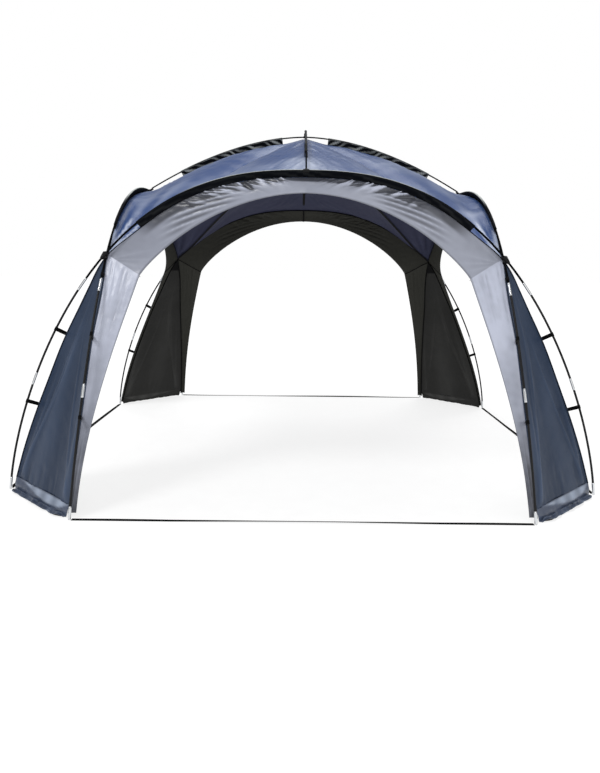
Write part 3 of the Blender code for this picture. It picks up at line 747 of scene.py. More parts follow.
@dataclass
class Roof:
    """The cloth dome of four gores, sewn along its diagonals."""

    shape: DomeShape
    columns: int = 120
    rows: int = 88
    cloth_mm: float = 1.0
    sleeve_end: float = 0.92

    def surface(self, u: Points, v: Points) -> Points:
        """Return points of the front gore, from the arch at v 0 to the crown at v 1."""
        corner = self.shape.corner()
        seam_u = np.linspace(0, 1, 241)
        seam = self.shape.arch_seam((seam_u * 2 - 1) * self.shape.crossing())
        seam[0] = corner * (-1, 1, 1)
        seam[-1] = corner
        edge = np.stack([np.interp(u, seam_u, seam[:, k]) for k in range(3)], axis=-1)
        top = float(seam[120][2])
        diagonal = self.shape.diagonal(v)[:, 2]
        ridge = self.shape.ridge(self.shape.offset_top * (1 - v))
        arch_share = (top - edge[:, 2]) / (top - corner[2])
        roof_share = (edge[:, 0] / corner[0]) ** 2
        share = arch_share * (1 - v) + roof_share * v
        sag = self.shape.roof_sag * np.sin(math.pi * np.abs(edge[:, 0]) / corner[0])
        height = ridge + (diagonal - ridge) * share - sag * ease(v / 0.12) * (1 - v) ** 1.5
        return self.shape.pulled(np.stack([edge[:, 0] * (1 - v), edge[:, 1] * (1 - v), height], axis=-1))

    def pulls(self, points: Points) -> tuple[Points, Points]:
        """Return the folds that fan out from the gore's two corners and the distance to the nearer corner."""
        x, y = points[:, 0], points[:, 1]
        total, near = np.zeros(len(x)), np.full(len(x), 9.0)
        for hand, seed in ((-1, 1.9), (1, 4.0)):
            inward = -hand * (x - hand * 1.15)
            away = np.hypot(inward, y + 1.15)
            angle = np.arctan2(y + 1.15, np.maximum(inward, 1e-6))
            bend = 1.1 * np.sin(angle * 5 + seed) + 1.6 * away
            total += np.sin(angle * 21 + seed + bend) * np.exp(-((away / 0.55) ** 2)) * ease(away / 0.08)
            near = np.minimum(near, away)
        return total, near

    def ripple(self, seed: int) -> Callable[[Points, Points, Points], Points]:
        """Return the folds of one gore: pulls from its corners, sleeve ends and seams, and loose waves."""
        def height(u: Points, v: Points, points: Points) -> Points:
            side = np.abs(u * 2 - 1)
            rim = ease(v / 0.03) * ease((1 - side) / 0.06) * ease((1 - v) / 0.1)
            x, y = points[:, 0], points[:, 1]
            total = 0.0040 * wander(points, 0.42, seed) + 0.0075 * self.pulls(points)[0]
            for hand in (-1, 1):
                below = -(y + self.sleeve_end)
                away = np.hypot(x, below)
                angle = np.arctan2(hand * x, below)
                window = np.exp(-((angle - 1.05) / 0.42) ** 2) * (x * hand > 0)
                total += 0.0065 * pleats(angle * 34 + seed) * window * np.exp(-away / 0.34) * ease(away / 0.06)
                upward = np.exp(-((angle - 2.45) / 0.30) ** 2) * (x * hand > 0)
                total += 0.0034 * np.sin(angle * 34 + seed) * upward * np.exp(-away / 0.40) * ease(away / 0.05)
                slant = creases(-y, hand * x, (0.20, 0.95), 30, seed + 20 + hand, (0.008, 0.018), (0.4, 1.6), (0.15, 0.55))
                total += 0.0042 * slant * (x * hand > 0) * ease(hand * x / 0.03)
            total += 0.0030 * creases(x, v * 1.25, (-0.95, 0.95), 34, seed + 30, (0.010, 0.026), (-0.5, 0.5), (0.10, 0.35))
            return (total + 0.0012 * wander(points, 0.10, seed + 9)) * rim
        return height

    def tint(self, u: Points, v: Points, points: Points, heights: Points) -> Points:
        """Return the painted highlights on the satin: pale streaks fanning from the corners, a pale patch below the
        ridge sleeve's end, and paler fold ridges with painted shade in their hollows.
        """
        folds, away = self.pulls(points)
        # Painted highlights: pale streaks on the folds that fan out from the gore's corners.
        streak_highlights = ease((0.16 + 0.36 * np.clip(folds, 0, 1) ** 2 - away) / 0.08)
        # Painted highlight: a pale patch just below the lower end of the gore's ridge sleeve.
        drawn = np.exp(-((np.hypot(points[:, 0], points[:, 1] + self.sleeve_end + 0.06) / 0.17) ** 2))
        # Painted highlight on fold ridges and painted shade in their hollows.
        loose = np.maximum(heights, -0.002) * (50 - 30 * streak_highlights)
        return 0.04 + 0.72 * streak_highlights + 0.34 * drawn + loose

    def build(self) -> None:
        """Make the dome, its outer felled seams and its inner tapes."""
        bm = bmesh.new()
        for quarter in range(4):
            verts = shaped_grid(bm, self.columns, self.rows, self.surface, self.ripple(11 + quarter), self.tint,
                                (2.4, 1.3), Vector((0, 0, 1)))
            bmesh.ops.transform(bm, matrix=quarter_turn(quarter), verts=verts)
        bmesh.ops.remove_doubles(bm, verts=bm.verts, dist=2e-5)
        piece = finish_mesh("dome_roof", bm, (ROOF_OUTSIDE, ROOF_INSIDE),
                            tuple(f"{side}_roof_panel" for side in QUARTERS))
        thicken(piece, self.cloth_mm / 1000, Build.BACKED_AND_SHADED)
        self.seams("roof_felled_seams", 0.0008, 0.011, ROOF_OUTSIDE, 1.0)
        self.seams("roof_inner_tapes", -0.0024, 0.020, TAPE, -1.0)

    def seams(self, name: str, lift: float, width: float, finish: Taffeta | Solid, out: float) -> None:
        """Make one strip along each diagonal and along each ridge."""
        bm = bmesh.new()
        share = np.linspace(0.012, 0.985, 70)
        diagonal = self.shape.diagonal(share)
        reach = self.shape.offset_top * (1 - share)
        ridge = np.stack([np.zeros_like(reach), -reach, self.shape.ridge(reach)], axis=-1)
        for quarter in range(4):
            for path, across, fall in ((diagonal, (0.7071, 0.7071, 0.0), 0.30), (ridge, (1.0, 0.0, 0.0), 0.0)):
                raised = self.shape.pulled(path) + np.array((0.0, 0.0, lift))
                self.strip(bm, raised, np.array(across), width, fall, quarter, out)
        piece = finish_mesh(name, bm, (finish,))
        thicken(piece, 0.0008, Build.PLAIN)

    @staticmethod
    def strip(bm: bmesh.types.BMesh, path: Points, across: Points, width: float, fall: float, quarter: int,
              out: float) -> None:
        """Add one narrow strip along a path, bent down at its edges by fall."""
        def place(u: Points, v: Points) -> Points:
            index = np.rint(v * (len(path) - 1)).astype(int)
            off = (u - 0.5) * width
            points = path[index] + across * off[:, None]
            points[:, 2] -= np.abs(off) * fall
            return points

        verts = shaped_grid(bm, 4, len(path) - 1, place, size=(width, 1.6), away=Vector((0, 0, out)))
        bmesh.ops.transform(bm, matrix=quarter_turn(quarter), verts=verts)


@dataclass
class DoorSurround:
    """The valance over one doorway with its two strips down the legs, one continuous cloth."""

    shape: DomeShape
    leg_columns: int = 90
    arch_columns: int = 270
    rows: int = 30
    hem_leg: tuple[tuple[float, float, float], ...] = (
        (1.205, 1.727, 0.03), (1.175, 1.648, 0.45), (1.090, 1.443, 0.825), (0.954, 1.242, 1.275))
    hem_top: tuple[tuple[float, float, float], ...] = (
        (0.954, 1.242, 1.275), (0.855, 1.165, 1.440), (0.470, 1.212, 1.752), (0.0, 1.250, 1.752))
    hem_width: float = 0.016

    def outlines(self) -> tuple[Points, Points, Points, Points]:
        """Return the right half's leg seam, leg hem, arch seam and top hem, each from its foot upwards."""
        low = np.linspace(0.03, 1.33, 160)
        leg = np.vstack([swap(self.shape.leg_seam(low)), self.shape.corner()])
        arch = self.shape.arch_seam(np.linspace(self.shape.crossing(), 0.0, 200))
        arch[0] = self.shape.corner()
        share = np.linspace(0, 1, 200)
        flip = np.array((1.0, -1.0, 1.0))
        leg_hem = bezier(tuple(np.array(p) * flip for p in self.hem_leg), share)
        top_hem = bezier(tuple(np.array(p) * flip for p in self.hem_top), share)
        return leg, leg_hem, arch, top_hem

    def shares(self, u: Points) -> tuple[Points, Points, Points]:
        """Return whether each u is on a leg strip, its share up the leg and its share along the valance."""
        split = self.leg_columns / (self.leg_columns + self.arch_columns)
        half = 1 - np.abs(u * 2 - 1)
        return half <= split, np.clip(half / split, 0, 1), np.clip((half - split) / (1 - split), 0, 1)

    def surface(self, u: Points, v: Points) -> Points:
        """Return points of the whole surround: u from foot to foot, v from the seam to the hem."""
        leg, leg_hem, arch, top_hem = self.outlines()
        on_leg, leg_share, top_share = self.shares(u)
        outer = np.where(on_leg[:, None], along(leg, leg_share), along(arch, top_share))
        inner = np.where(on_leg[:, None], along(leg_hem, leg_share), along(top_hem, top_share))
        points = outer * (1 - v)[:, None] + inner * v[:, None]
        bulge = np.where(on_leg, 0.003, 0.003 + 0.010 * ease(top_share * 3)) * np.sin(math.pi * v)
        points[:, 1] -= bulge * 0.8
        points[:, 2] += bulge * 0.6
        points[:, 0] *= np.where(u < 0.5, -1.0, 1.0)
        return self.shape.pulled(points)

    def gathers(self, u: Points, v: Points, x: Points) -> Points:
        """Return the short gathers that lean towards the middle as they leave the sleeve, from -1 to 1."""
        on_leg, leg_share, top_share = self.shares(u)
        depth = v * (0.13 + 0.10 * (1 - top_share))
        total = np.zeros(len(x))
        for hand in (-1, 1):
            lean = (-2.4, -0.5) if hand > 0 else (0.5, 2.4)
            span = (0.08, 0.78) if hand > 0 else (-0.78, -0.08)
            short = creases(x, depth, span, 84, 36 + hand, (0.0045, 0.0085), lean, (0.05, 0.14))
            total += short * (x * hand > 0) * np.exp(-((np.abs(x) - 0.40) / 0.27) ** 4)
        return np.clip(total, -1.2, 1.2) * ease(top_share / 0.06)

    def lengthwise(self, v: Points, x: Points) -> Points:
        """Return the long folds that run along the valance between its gathers and its hem."""
        reach = np.abs(x)
        row = (v + reach * 0.92) * 36 + 1.6 * np.sin(x * 5.0 + 1.0)
        window = np.exp(-(((reach - 0.60) / 0.19) ** 4)) * ease((v - 0.22) / 0.15) * ease((0.92 - v) / 0.15)
        return pleats(row) * window

    def ripple(self, seed: int) -> Callable[[Points, Points, Points], Points]:
        """Return the gathers under the sleeve, the long pulls from the corners and the hem's fold."""
        def height(u: Points, v: Points, points: Points) -> Points:
            on_leg, leg_share, top_share = self.shares(u)
            x = points[:, 0]
            total = 0.0022 * wander(points, 0.25, seed + 4) * ease(v / 0.1)
            total += 0.0080 * self.gathers(u, v, x) * ease(v / 0.03) + 0.0034 * self.lengthwise(v, x)
            below = (1 - leg_share) * 1.45
            pulls = creases(v * 0.20, below, (0.01, 0.155), 24, seed + 6, (0.003, 0.007), (-0.06, 0.06), (0.12, 0.60))
            total += 0.0040 * pulls * on_leg * ease(below / 0.05)
            up = creases(v * 0.10, leg_share * 1.45, (0.01, 0.09), 7, seed + 7, (0.004, 0.009), (-0.03, 0.08), (0.2, 0.8))
            total += 0.0025 * up * on_leg * ease(leg_share / 0.05)
            total += 0.0009 * wander(points, 0.05, seed + 5) * ease(v / 0.1)
            hem = ease((v - (1 - self.hem_width / 0.17)) / 0.02)
            return total * ease((1 - v) / 0.10) + 0.0007 * hem
        return height

    def tint(self, u: Points, v: Points, points: Points, heights: Points) -> Points:
        """Return the share of the pale grey: paler up the leg strips, with painted shade under the sleeve and painted
        highlights and shade on the folds.
        """
        on_leg, leg_share, top_share = self.shares(u)
        x = points[:, 0]
        gather = self.gathers(u, v, x)
        # Painted shade under the sleeve: darker near the sleeve except on the lit gathers just below it.
        under_sleeve = ease((top_share - 0.15) / 0.14)
        lit = ease((v - 0.24 + 0.30 * gather) / 0.14)
        # Mid grey valance with painted highlights and painted shade on the gathers and long folds.
        valance = 0.50 + 0.08 * v + 0.42 * gather * (1 - ease((v - 0.5) / 0.4)) + 0.36 * self.lengthwise(v, x)
        valance *= 1 - under_sleeve * (1 - lit) * 0.92
        away = np.hypot(np.abs(x) - 1.15, points[:, 2] - 1.37)
        angle = np.arctan2(points[:, 2] - 1.37, 1.15 - np.abs(x))
        # Painted highlights on the folds that fan out from the corner.
        rays = pleats(angle * 19 + 2 * np.sin(angle * 7)) * np.exp(-((away / 0.22) ** 2)) * ease(away / 0.05)
        # Paler up the leg strips, darker towards the feet.
        strip = 0.06 + 0.86 * ease(leg_share / 0.74)
        hem = 0.6 * ease((v - 0.955) / 0.02)
        # Painted highlights on fold ridges and painted shade in their hollows; darker along the hem.
        return (np.where(on_leg, strip + heights * 45, valance + 0.07 * rays) + heights * 12) * (1 - hem)

    def build(self) -> None:
        """Make the four surrounds with their seams, piping and tapes."""
        for quarter, side in enumerate(QUARTERS):
            bm = bmesh.new()
            shaped_grid(bm, 2 * (self.leg_columns + self.arch_columns), self.rows, self.surface,
                        self.ripple(31 + 7 * quarter), self.tint, (6.0, 0.2), Vector((0, -1, 0.3)))
            bmesh.ops.transform(bm, matrix=quarter_turn(quarter), verts=bm.verts)
            piece = finish_mesh(f"{side}_door_cloth", bm, (DOOR_OUTSIDE, DOOR_INSIDE),
                                (f"{side}_door_surround",))
            thicken(piece, 0.001, Build.BACKED_AND_SHADED)
            self.piping(side, quarter)
            self.tapes(side, quarter)

    def piping(self, side: str, quarter: int) -> None:
        """Make the dark piped seam between roof and valance, from each sleeve's end to the corner."""
        bm = bmesh.new()
        reach = self.shape.crossing()
        for sign in (-1, 1):
            path = self.shape.pulled(self.shape.arch_seam(sign * np.linspace(0.90, reach - 0.002, 28)))
            path += np.array((0.0, -0.0012, 0.0004))
            tube(bm, path, np.array((0.0, -float(sign), 0.0)), np.full(len(path), 0.0023), 8)
        bmesh.ops.transform(bm, matrix=quarter_turn(quarter), verts=bm.verts)
        finish_mesh(f"{side}_seam_piping", bm, (TAPE,))

    def tapes(self, side: str, quarter: int) -> None:
        """Make the black tapes inside: corner seams, leg seams, arch seam and the valance's middle seam."""
        leg, leg_hem, arch, top_hem = self.outlines()
        inward = Vector((0, 1, -0.3))
        bm = bmesh.new()
        for sign in (-1, 1):
            flip = np.array((sign, 1, 1))
            lines = ((np.linspace(arch[0], top_hem[0], 17), (sign * 0.55, 0.1, 0.80), 0.014),
                     (along(leg, np.linspace(0.0, 1.0, 60)), (-sign * 0.75, 0.65, 0.0), 0.018))
            for path, across, width in lines:
                self.tape(bm, self.shape.pulled(path * flip), np.array(across), width, inward)
        crest = self.shape.arch_seam(np.linspace(-self.shape.crossing(), self.shape.crossing(), 120))
        self.tape(bm, self.shape.pulled(crest), np.array((0.0, 0.5, -0.85)), 0.013, inward)
        self.tape(bm, np.linspace(arch[-1], top_hem[-1], 17), np.array((1.0, 0.0, 0.0)), 0.012, inward)
        bmesh.ops.transform(bm, matrix=quarter_turn(quarter), verts=bm.verts)
        piece = finish_mesh(f"{side}_door_tapes", bm, (TAPE,))
        thicken(piece, 0.0008, Build.PLAIN)

    @staticmethod
    def tape(bm: bmesh.types.BMesh, path: Points, across: Points, width: float, away: Vector) -> None:
        """Add one tape along a path, just inside the cloth."""
        inside = path + np.array((0.0, 0.0052, -0.0030))

        def place(u: Points, v: Points) -> Points:
            index = np.rint(v * (len(path) - 1)).astype(int)
            return inside[index] + across * ((u - 0.5) * width)[:, None]

        shaped_grid(bm, 2, len(path) - 1, place, size=(width, 0.3), away=away)


@dataclass
class CornerPanel:
    """The cloth between the two legs of one corner, with its tabs round the legs and its skirt."""

    shape: DomeShape
    frame: PoleFrame
    columns: int = 64
    rows: int = 110
    low: float = 0.070
    tab_heights: tuple[float, ...] = (0.53, 0.96)
    top_tab: float = 1.285
    tab_width: float = 0.020

    def edge(self, share: Points) -> Points:
        """Return the right leg's seam from the panel's bottom to the corner."""
        heights = np.linspace(self.low, 1.33, 160)
        return along(np.vstack([self.shape.leg_seam(heights), self.shape.corner()]), share)

    def surface(self, u: Points, v: Points) -> Points:
        """Return points of the right front panel: u from the front leg to the right leg, v upwards."""
        right = self.edge(v)
        front = swap(right)
        points = front * (1 - u)[:, None] + right * u[:, None]
        hollow = 0.014 * np.sin(math.pi * u) * np.sin(math.pi * np.clip(v * 1.1, 0, 1))
        points[:, 0] -= hollow * 0.7
        points[:, 1] += hollow * 0.7
        return self.shape.pulled(points)

    def ripple(self, seed: int) -> Callable[[Points, Points, Points], Points]:
        """Return the long upright pulls from the corner and the feet."""
        def height(u: Points, v: Points, points: Points) -> Points:
            rim = ease(u / 0.05) * ease((1 - u) / 0.05) * ease((1 - v) / 0.06)
            total = 0.0030 * np.sin(u * 11 + seed) * ease((0.8 - v) / 0.6)
            for centre in (0.10, 0.90):
                pull = np.exp(-((u - centre - 0.05 * np.sin(v * 3)) / 0.030) ** 2)
                total += 0.0060 * pull * ease((0.62 - v) / 0.45) * ease(v / 0.03)
            total += 0.0045 * np.exp(-((u - 0.37 - 0.12 * (v - 0.5)) / 0.055) ** 2) * np.exp(-((v - 0.52) / 0.22) ** 2)
            for start, slope in ((0.06, 0.62), (0.10, 0.40), (0.93, -0.50)):
                across = (u - start - slope * v) / (0.016 + 0.010 * v)
                total += 0.0050 * np.exp(-across * across) * ease((0.80 - v) / 0.5) * ease(v / 0.05)
            foot = creases(u * 0.68, v * 1.4, (0.03, 0.65), 22, seed, (0.006, 0.014), (-0.25, 0.25), (0.05, 0.35))
            head = creases(u, (1 - v) * 1.4, (0.05, 0.95), 9, seed + 1, (0.03, 0.06), (-0.05, 0.05), (0.2, 0.6))
            total += 0.0022 * foot + 0.0016 * head
            return (total + 0.0020 * wander(points, 0.35, seed) + 0.0006 * wander(points, 0.07, seed + 3)) * rim
        return height

    def tint(self, u: Points, v: Points, points: Points, heights: Points) -> Points:
        """Return the painted highlight on the ridges of its pulls and painted shade in their hollows."""
        # Painted highlight on fold ridges, painted shade in the hollows.
        return 0.12 + heights * 55

    def skirt(self, u: Points, v: Points) -> Points:
        """Return points of the skirt: v from the panel's bottom out over the ground."""
        right = self.shape.leg_seam(np.full_like(u, self.low))
        front = swap(right)
        inset = 0.030 * ease(v / 0.6)
        share = inset + u * (1 - 2 * inset)
        base = front * (1 - share)[:, None] + right * share[:, None]
        wave = np.sin(u * 13 + 0.6) * 0.5 + np.sin(u * 29 + 1.0) * 0.3 + np.sin(u * 53 + 2.0) * 0.2
        ends = 0.35 + 0.65 * ease(u / 0.12) * ease((1 - u) / 0.12)
        reach = 0.012 * ease(v / 0.25) + (0.052 + 0.012 * wave) * np.clip((v - 0.12) / 0.88, 0, 1) * ends
        base[:, 0] += reach * 0.7071
        base[:, 1] -= reach * 0.7071
        fall = ease(v / 0.40)
        crest = 0.017 * (1 + 0.6 * wave) * np.exp(-((v - 0.50 - 0.10 * wave) / 0.09) ** 2)
        rim = 0.010 * (1 + wave) * ease((v - 0.72) / 0.28)
        base[:, 2] = (self.low - 0.0016) * (1 - fall) + 0.0045 + (crest + rim) * ease(u / 0.06) * ease((1 - u) / 0.06)
        return base

    def skirt_tint(self, u: Points, v: Points, points: Points, heights: Points) -> Points:
        """Return the painted light on the skirt's top beside the panel and painted highlights along its outer rim and
        on its ridges, with the slate colour left between them.
        """
        bow = np.sin(math.pi * u) ** 0.5 * (0.10 + 0.30 * u)
        # Painted light from above on the skirt's top beside the panel.
        pale = ease((bow - v) / 0.05) * ease((v - 0.04) / 0.05) * (0.75 + 0.25 * np.sin(u * 31))
        # Painted highlight stripes along the outer rim.
        fringe = 0.45 * ease((v - 0.70) / 0.1) * (0.5 + 0.5 * np.sin(u * 47 + 3 * v))
        # Painted highlights on the ridges.
        return pale + fringe + heights * 60

    def build(self) -> None:
        """Make the four panels with their bindings, skirts and tabs."""
        outward = Vector((1, -1, 0))
        for quarter, corner in enumerate(CORNERS):
            bm = bmesh.new()
            shaped_grid(bm, self.columns, self.rows, self.surface, self.ripple(51 + quarter), self.tint, (0.7, 1.45),
                        outward)
            bmesh.ops.remove_doubles(bm, verts=bm.verts, dist=2e-5)
            bmesh.ops.transform(bm, matrix=quarter_turn(quarter), verts=bm.verts)
            piece = finish_mesh(f"{corner}_leg_cloth", bm, (CORNER_OUTSIDE, CORNER_INSIDE),
                                (f"{corner}_corner_panel",))
            thicken(piece, 0.001, Build.BACKED_AND_SHADED)
            bm = bmesh.new()
            shaped_grid(bm, 96, 30, self.skirt, lambda u, v, p: 0.0022 * wander(p, 0.05, 5) * ease((v - 0.15) / 0.3),
                        self.skirt_tint, (0.7, 0.12), outward + Vector((0, 0, 1)))
            bmesh.ops.transform(bm, matrix=quarter_turn(quarter), verts=bm.verts)
            piece = finish_mesh(f"{corner}_skirt", bm, (SKIRT_CLOTH, CORNER_INSIDE))
            thicken(piece, 0.001, Build.BACKED_AND_SHADED)
            self.bindings(corner, quarter)
            self.tabs(corner, quarter)

    def bindings(self, corner: str, quarter: int) -> None:
        """Make the bound edges along both leg seams and the patch at the head of the panel."""
        bm = bmesh.new()
        out = np.array((0.0014, -0.0014, 0.0))
        path = self.shape.pulled(self.edge(np.linspace(0.0, 0.985, 70))) + out
        tube(bm, path, np.array((0.7071, -0.7071, 0.0)), np.full(len(path), 0.0026), 8)
        tube(bm, swap(path), np.array((0.7071, -0.7071, 0.0)), np.full(len(path), 0.0026), 8)
        bmesh.ops.recalc_face_normals(bm, faces=bm.faces)
        bmesh.ops.transform(bm, matrix=quarter_turn(quarter), verts=bm.verts)
        finish_mesh(f"{corner}_leg_bindings", bm, (CORNER_OUTSIDE,))
        bm = bmesh.new()
        shift = np.array((-0.006, 0.006, -0.002))

        def place(u: Points, v: Points) -> Points:
            return self.surface(u, 1 - 0.085 * (1 - v)) + shift

        shaped_grid(bm, 8, 8, place, size=(0.08, 0.12), away=Vector((-1, 1, 0)))
        bmesh.ops.remove_doubles(bm, verts=bm.verts, dist=2e-5)
        bmesh.ops.transform(bm, matrix=quarter_turn(quarter), verts=bm.verts)
        piece = finish_mesh(f"{corner}_inner_patch", bm, (TAPE,))
        thicken(piece, 0.0010, Build.PLAIN)

    def tabs(self, corner: str, quarter: int) -> None:
        """Make the webbing tabs that hold both leg seams to their legs, with one more on each side arch."""
        bm = bmesh.new()
        for mirrored in (False, True):
            on_side_arch = mirrored == (quarter % 2 == 0)
            shift = self.shape.crossing_shift * (-1 if on_side_arch else 1)
            for height in self.tab_heights + ((self.top_tab,) if on_side_arch else ()):
                grid = self.tab_points(height, shift)
                if mirrored:
                    grid = swap(grid)

                def place(u: Points, v: Points, grid: Points = grid) -> Points:
                    i = np.rint(u * (grid.shape[0] - 1)).astype(int)
                    j = np.rint(v * (grid.shape[1] - 1)).astype(int)
                    return grid[i, j]

                shaped_grid(bm, grid.shape[0] - 1, grid.shape[1] - 1, place, size=(0.14, self.tab_width))
        bmesh.ops.recalc_face_normals(bm, faces=bm.faces)
        bmesh.ops.transform(bm, matrix=quarter_turn(quarter), verts=bm.verts)
        piece = finish_mesh(f"{corner}_leg_tabs", bm, (TAPE,))
        thicken(piece, 0.0012, Build.PLAIN)

    def tab_points(self, height: float, shift: float) -> Points:
        """Return the grid of one tab: out from the seam, round the leg and back."""
        rows = []
        for z in height + np.linspace(-0.5, 0.5, 5) * self.tab_width:
            pole = np.array((float(self.shape.half_width(z)), -(float(self.shape.offset(z)) + shift), z))
            seam = self.shape.pulled(self.shape.leg_seam(np.array([z])))[0]
            out = (pole - seam) / np.linalg.norm(pole - seam)
            side = np.cross(out, np.array((0.0, 0.0, 1.0)))
            side /= np.linalg.norm(side)
            radius = self.frame.leg_radius + 0.0022
            turn = np.linspace(-2.6, 2.6, 17)
            loop = [pole + out * radius * math.cos(a) + side * radius * math.sin(a) for a in turn]
            line = [seam + side * s * 0.0016 - out * 0.003 for s in (-1, 1)]
            rows.append([line[0]] + loop + [line[1]])
        return np.array(rows).transpose(1, 0, 2)


@dataclass
class Sleeves:
    """The cloth sleeves over the arches and over the roof poles."""

    shape: DomeShape
    frame: PoleFrame
    reach: float = 0.98
    roof_low: float = 0.17
    roof_high: float = 0.92

    @staticmethod
    def section(radius: float, drops: Points, shift: float, seed: int,
                pucker: float) -> Callable[[Points, Points], tuple[Points, Points]]:
        """Return a section that wraps the pole and closes on a flat web below it."""
        draw = np.random.default_rng(seed)
        waves = draw.uniform(0, 6.28, 4)

        def profile(angle: Points, index: Points) -> tuple[Points, Points]:
            low = ease((-np.cos(angle) - 0.35) / 0.6)
            out = radius * np.cos(angle) * (1 - low) - drops[index] * low
            hand = np.sign(np.sin(angle))
            side = radius * np.sin(angle) * (1 - low) + hand * 0.0013 * low
            slant = index * 0.55 + 4.0 * np.abs(angle - math.pi)
            fold = pleats(slant + waves[0] + 1.5 * np.sin(index * 0.13 + waves[1]))
            fold *= 0.6 + 0.4 * np.sin(index * 0.21 + waves[2])
            side += pucker * fold * (1 - np.abs(np.cos(angle))) * hand
            return out, side - shift * low

        return profile

    @staticmethod
    def shine(gloss: float, stripes: float) -> Callable[[Points, Points, Points, Points], Points]:
        """Return the painted highlight along the top of the pole and the painted highlights on the sides of the
        puckers.
        """
        def tint(u: Points, v: Points, points: Points, heights: Points) -> Points:
            angle = u * 2 * math.pi
            # Painted highlight along the top of the pole.
            top = ease((np.cos(angle) - 0.55) / 0.3) * ease((0.40 - np.abs(v - 0.5)) / 0.12)
            slant = v * 62 + 8.5 * np.abs(angle - math.pi) + 2.2 * np.sin(v * 13) + 1.1 * np.sin(v * 37)
            # Painted highlights on the sides of the puckers.
            fold = ease((np.sin(slant) - 0.15) / 0.6) * (0.65 + 0.35 * np.sin(v * 29))
            return gloss * top + stripes * fold * (1 - top)
        return tint

    def build(self) -> None:
        """Make every sleeve."""
        for quarter, side in enumerate(QUARTERS):
            shift = self.shape.crossing_shift * (1 if quarter % 2 == 0 else -1)
            path = self.frame.arch_path(shift, self.reach, 261)
            drops = np.full(len(path), self.shape.seam_drop - 0.001)
            bm = bmesh.new()
            tube(bm, path, np.array((0.0, -1.0, 0.0)), np.full(len(path), 0.009), 26,
                 self.section(0.0092, drops, shift, 71 + quarter, 0.0011), False, self.shine(0.95, 0.02))
            bmesh.ops.recalc_face_normals(bm, faces=bm.faces)
            bmesh.ops.transform(bm, matrix=quarter_turn(quarter), verts=bm.verts)
            piece = finish_mesh(f"{side}_pole_sleeve", bm, (SLEEVE_CLOTH,), (f"{side}_arch_sleeve",))
            thicken(piece, 0.0008, Build.PLAIN)
        self.roof_sleeve("left_ridge_sleeve", 0, -1, 0.0, "left_roof_sleeve")
        self.roof_sleeve("right_ridge_sleeve", 0, 1, 0.0, "right_roof_sleeve")
        self.roof_sleeve("front_ridge_sleeve", 1, -1, self.shape.crown_step, "front_roof_sleeve")
        self.roof_sleeve("back_ridge_sleeve", 1, 1, self.shape.crown_step, "back_roof_sleeve")

    def roof_sleeve(self, name: str, axis: int, sign: int, step: float, node: str) -> None:
        """Make the sleeve over one half of a roof pole."""
        reach = np.linspace(self.roof_high, self.roof_low, 121)
        top = self.shape.crown_height + step
        height = self.shape.roof_pole(reach, top)
        path = np.zeros((len(reach), 3))
        path[:, axis] = sign * reach
        path[:, 2] = height
        slope = np.gradient(height, reach)
        drops = (height - self.shape.ridge(reach)) / np.hypot(1, slope) - 0.001
        side = np.array((0.0, float(sign), 0.0)) if axis == 0 else np.array((-float(sign), 0.0, 0.0))
        bm = bmesh.new()
        tube(bm, path, side, np.full(len(path), 0.0075), 50, self.section(0.0078, drops, 0.0, 81, 0.0022), False,
             self.shine(0.08, 0.50 if axis == 0 else 0.10))
        bmesh.ops.recalc_face_normals(bm, faces=bm.faces)
        piece = finish_mesh(name, bm, (SLEEVE_CLOTH,), (node,))
        thicken(piece, 0.0008, Build.PLAIN)


@dataclass
class GroundStraps:
    """The flat webbing straps across the doorways, each slightly turned as it lies."""

    shape: DomeShape
    width: float = 0.024

    def build(self) -> None:
        """Make the four straps."""
        for quarter, side in enumerate(QUARTERS):
            shift = self.shape.crossing_shift * (1 if quarter % 2 == 0 else -1)
            reach = float(self.shape.offset(0.0)) - shift - 0.011

            def place(u: Points, v: Points, reach: float = reach, start: float = 0.6 * quarter) -> Points:
                angle = -0.10 + 0.17 * np.sin(v * 7.5 + 0.9 + start)
                off = (u - 0.5) * self.width
                points = np.zeros((len(u), 3))
                points[:, 0] = (v * 2 - 1) * reach
                points[:, 1] = -self.shape.half_span + off * np.cos(angle)
                points[:, 2] = 0.0022 + self.width / 2 * np.abs(np.sin(angle)) + off * np.sin(angle)
                return points

            bm = bmesh.new()
            shaped_grid(bm, 4, 240, place, size=(self.width, 2.45), away=Vector((0, 0, 1)))
            bmesh.ops.transform(bm, matrix=quarter_turn(quarter), verts=bm.verts)
            piece = finish_mesh(f"{side}_door_strap", bm, (TAPE,), (f"{side}_ground_strap",))
            thicken(piece, 0.0014, Build.PLAIN)


# Studio.


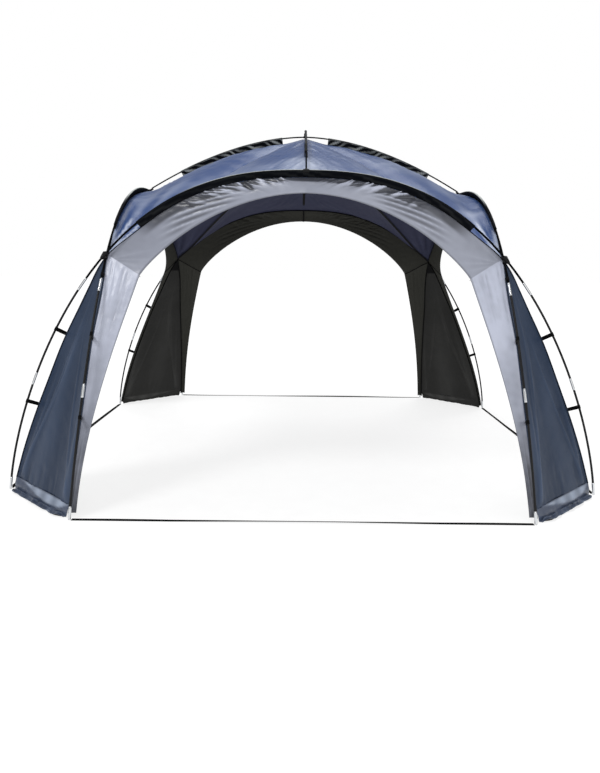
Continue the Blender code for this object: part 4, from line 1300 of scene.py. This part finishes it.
@dataclass
class Studio:
    """The floor, the soft lights and the camera at the photograph's place."""

    camera_place: tuple[float, float, float] = (-0.0333, -5.2007, 1.3452)
    turn_degrees: float = -0.138
    down_degrees: float = 7.763
    roll_degrees: float = 0.659
    lens_mm: float = 31.69
    shift: float = -0.0363
    sky: float = 0.40

    def build(self) -> None:
        """Make the stage."""
        bm = bmesh.new()
        bmesh.ops.create_grid(bm, x_segments=8, y_segments=8, size=60.0)
        mesh = bpy.data.meshes.new("floor")
        bm.to_mesh(mesh)
        bm.free()
        floor = bpy.data.objects.new("floor", mesh)
        bpy.context.collection.objects.link(floor)
        mesh.materials.append(FLOOR.make())
        self.light("key_light", (-0.40, -0.40, 0.83), 1.15, 20.0)
        self.light("top_light", (0.12, 0.42, 0.90), 0.75, 30.0)
        self.light("front_fill", (0.35, -0.85, 0.40), 0.50, 50.0)
        self.backdrop()
        lens = bpy.data.cameras.new("camera")
        lens.sensor_fit = "VERTICAL"
        lens.sensor_height = 36.0
        lens.lens = self.lens_mm
        lens.shift_y = self.shift
        lens.clip_end = 200.0
        camera = bpy.data.objects.new("camera", lens)
        bpy.context.collection.objects.link(camera)
        turn = Matrix.Rotation(math.radians(self.turn_degrees), 4, "Z")
        tilt = Matrix.Rotation(math.radians(90 - self.down_degrees), 4, "X")
        roll = Matrix.Rotation(math.radians(self.roll_degrees), 4, "Z")
        camera.matrix_world = Matrix.Translation(Vector(self.camera_place)) @ turn @ tilt @ roll
        bpy.context.scene.camera = camera
        bpy.context.scene.view_settings.view_transform = "Standard"

    def backdrop(self) -> None:
        """Make a white backdrop that lights the object more softly than it looks."""
        world = bpy.data.worlds.new("studio")
        world.use_nodes = True
        tree = world.node_tree
        seen = add_node(tree, "ShaderNodeLightPath").outputs["Is Camera Ray"]
        strength = add_node(tree, "ShaderNodeMapRange", {"Value": seen}, To_Min=self.sky, To_Max=1.0)
        light = tree.nodes["Background"]
        light.inputs["Color"].default_value = (1.0, 1.0, 1.0, 1.0)
        tree.links.new(strength.outputs["Result"], light.inputs["Strength"])
        bpy.context.scene.world = world

    @staticmethod
    def light(name: str, towards: tuple[float, float, float], power: float, spread: float) -> None:
        """Add one far soft light in a direction, spread over an angle in degrees."""
        lamp = bpy.data.lights.new(name, "SUN")
        lamp.energy = power
        lamp.angle = math.radians(spread)
        item = bpy.data.objects.new(name, lamp)
        bpy.context.collection.objects.link(item)
        item.location = Vector(towards) * 8
        item.rotation_euler = (-Vector(towards)).to_track_quat("-Z", "Y").to_euler()


def main() -> None:
    """Build the gazebo round the frame."""
    logging.basicConfig(level=logging.INFO, stream=sys.stdout, format="%(message)s")
    shape = DomeShape()
    frame = PoleFrame(shape)
    frame.build()
    Fittings(shape, frame).build()
    Roof(shape).build()
    DoorSurround(shape).build()
    CornerPanel(shape, frame).build()
    Sleeves(shape, frame).build()
    GroundStraps(shape).build()
    Studio().build()


if __name__ == "__main__":
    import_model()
    main()
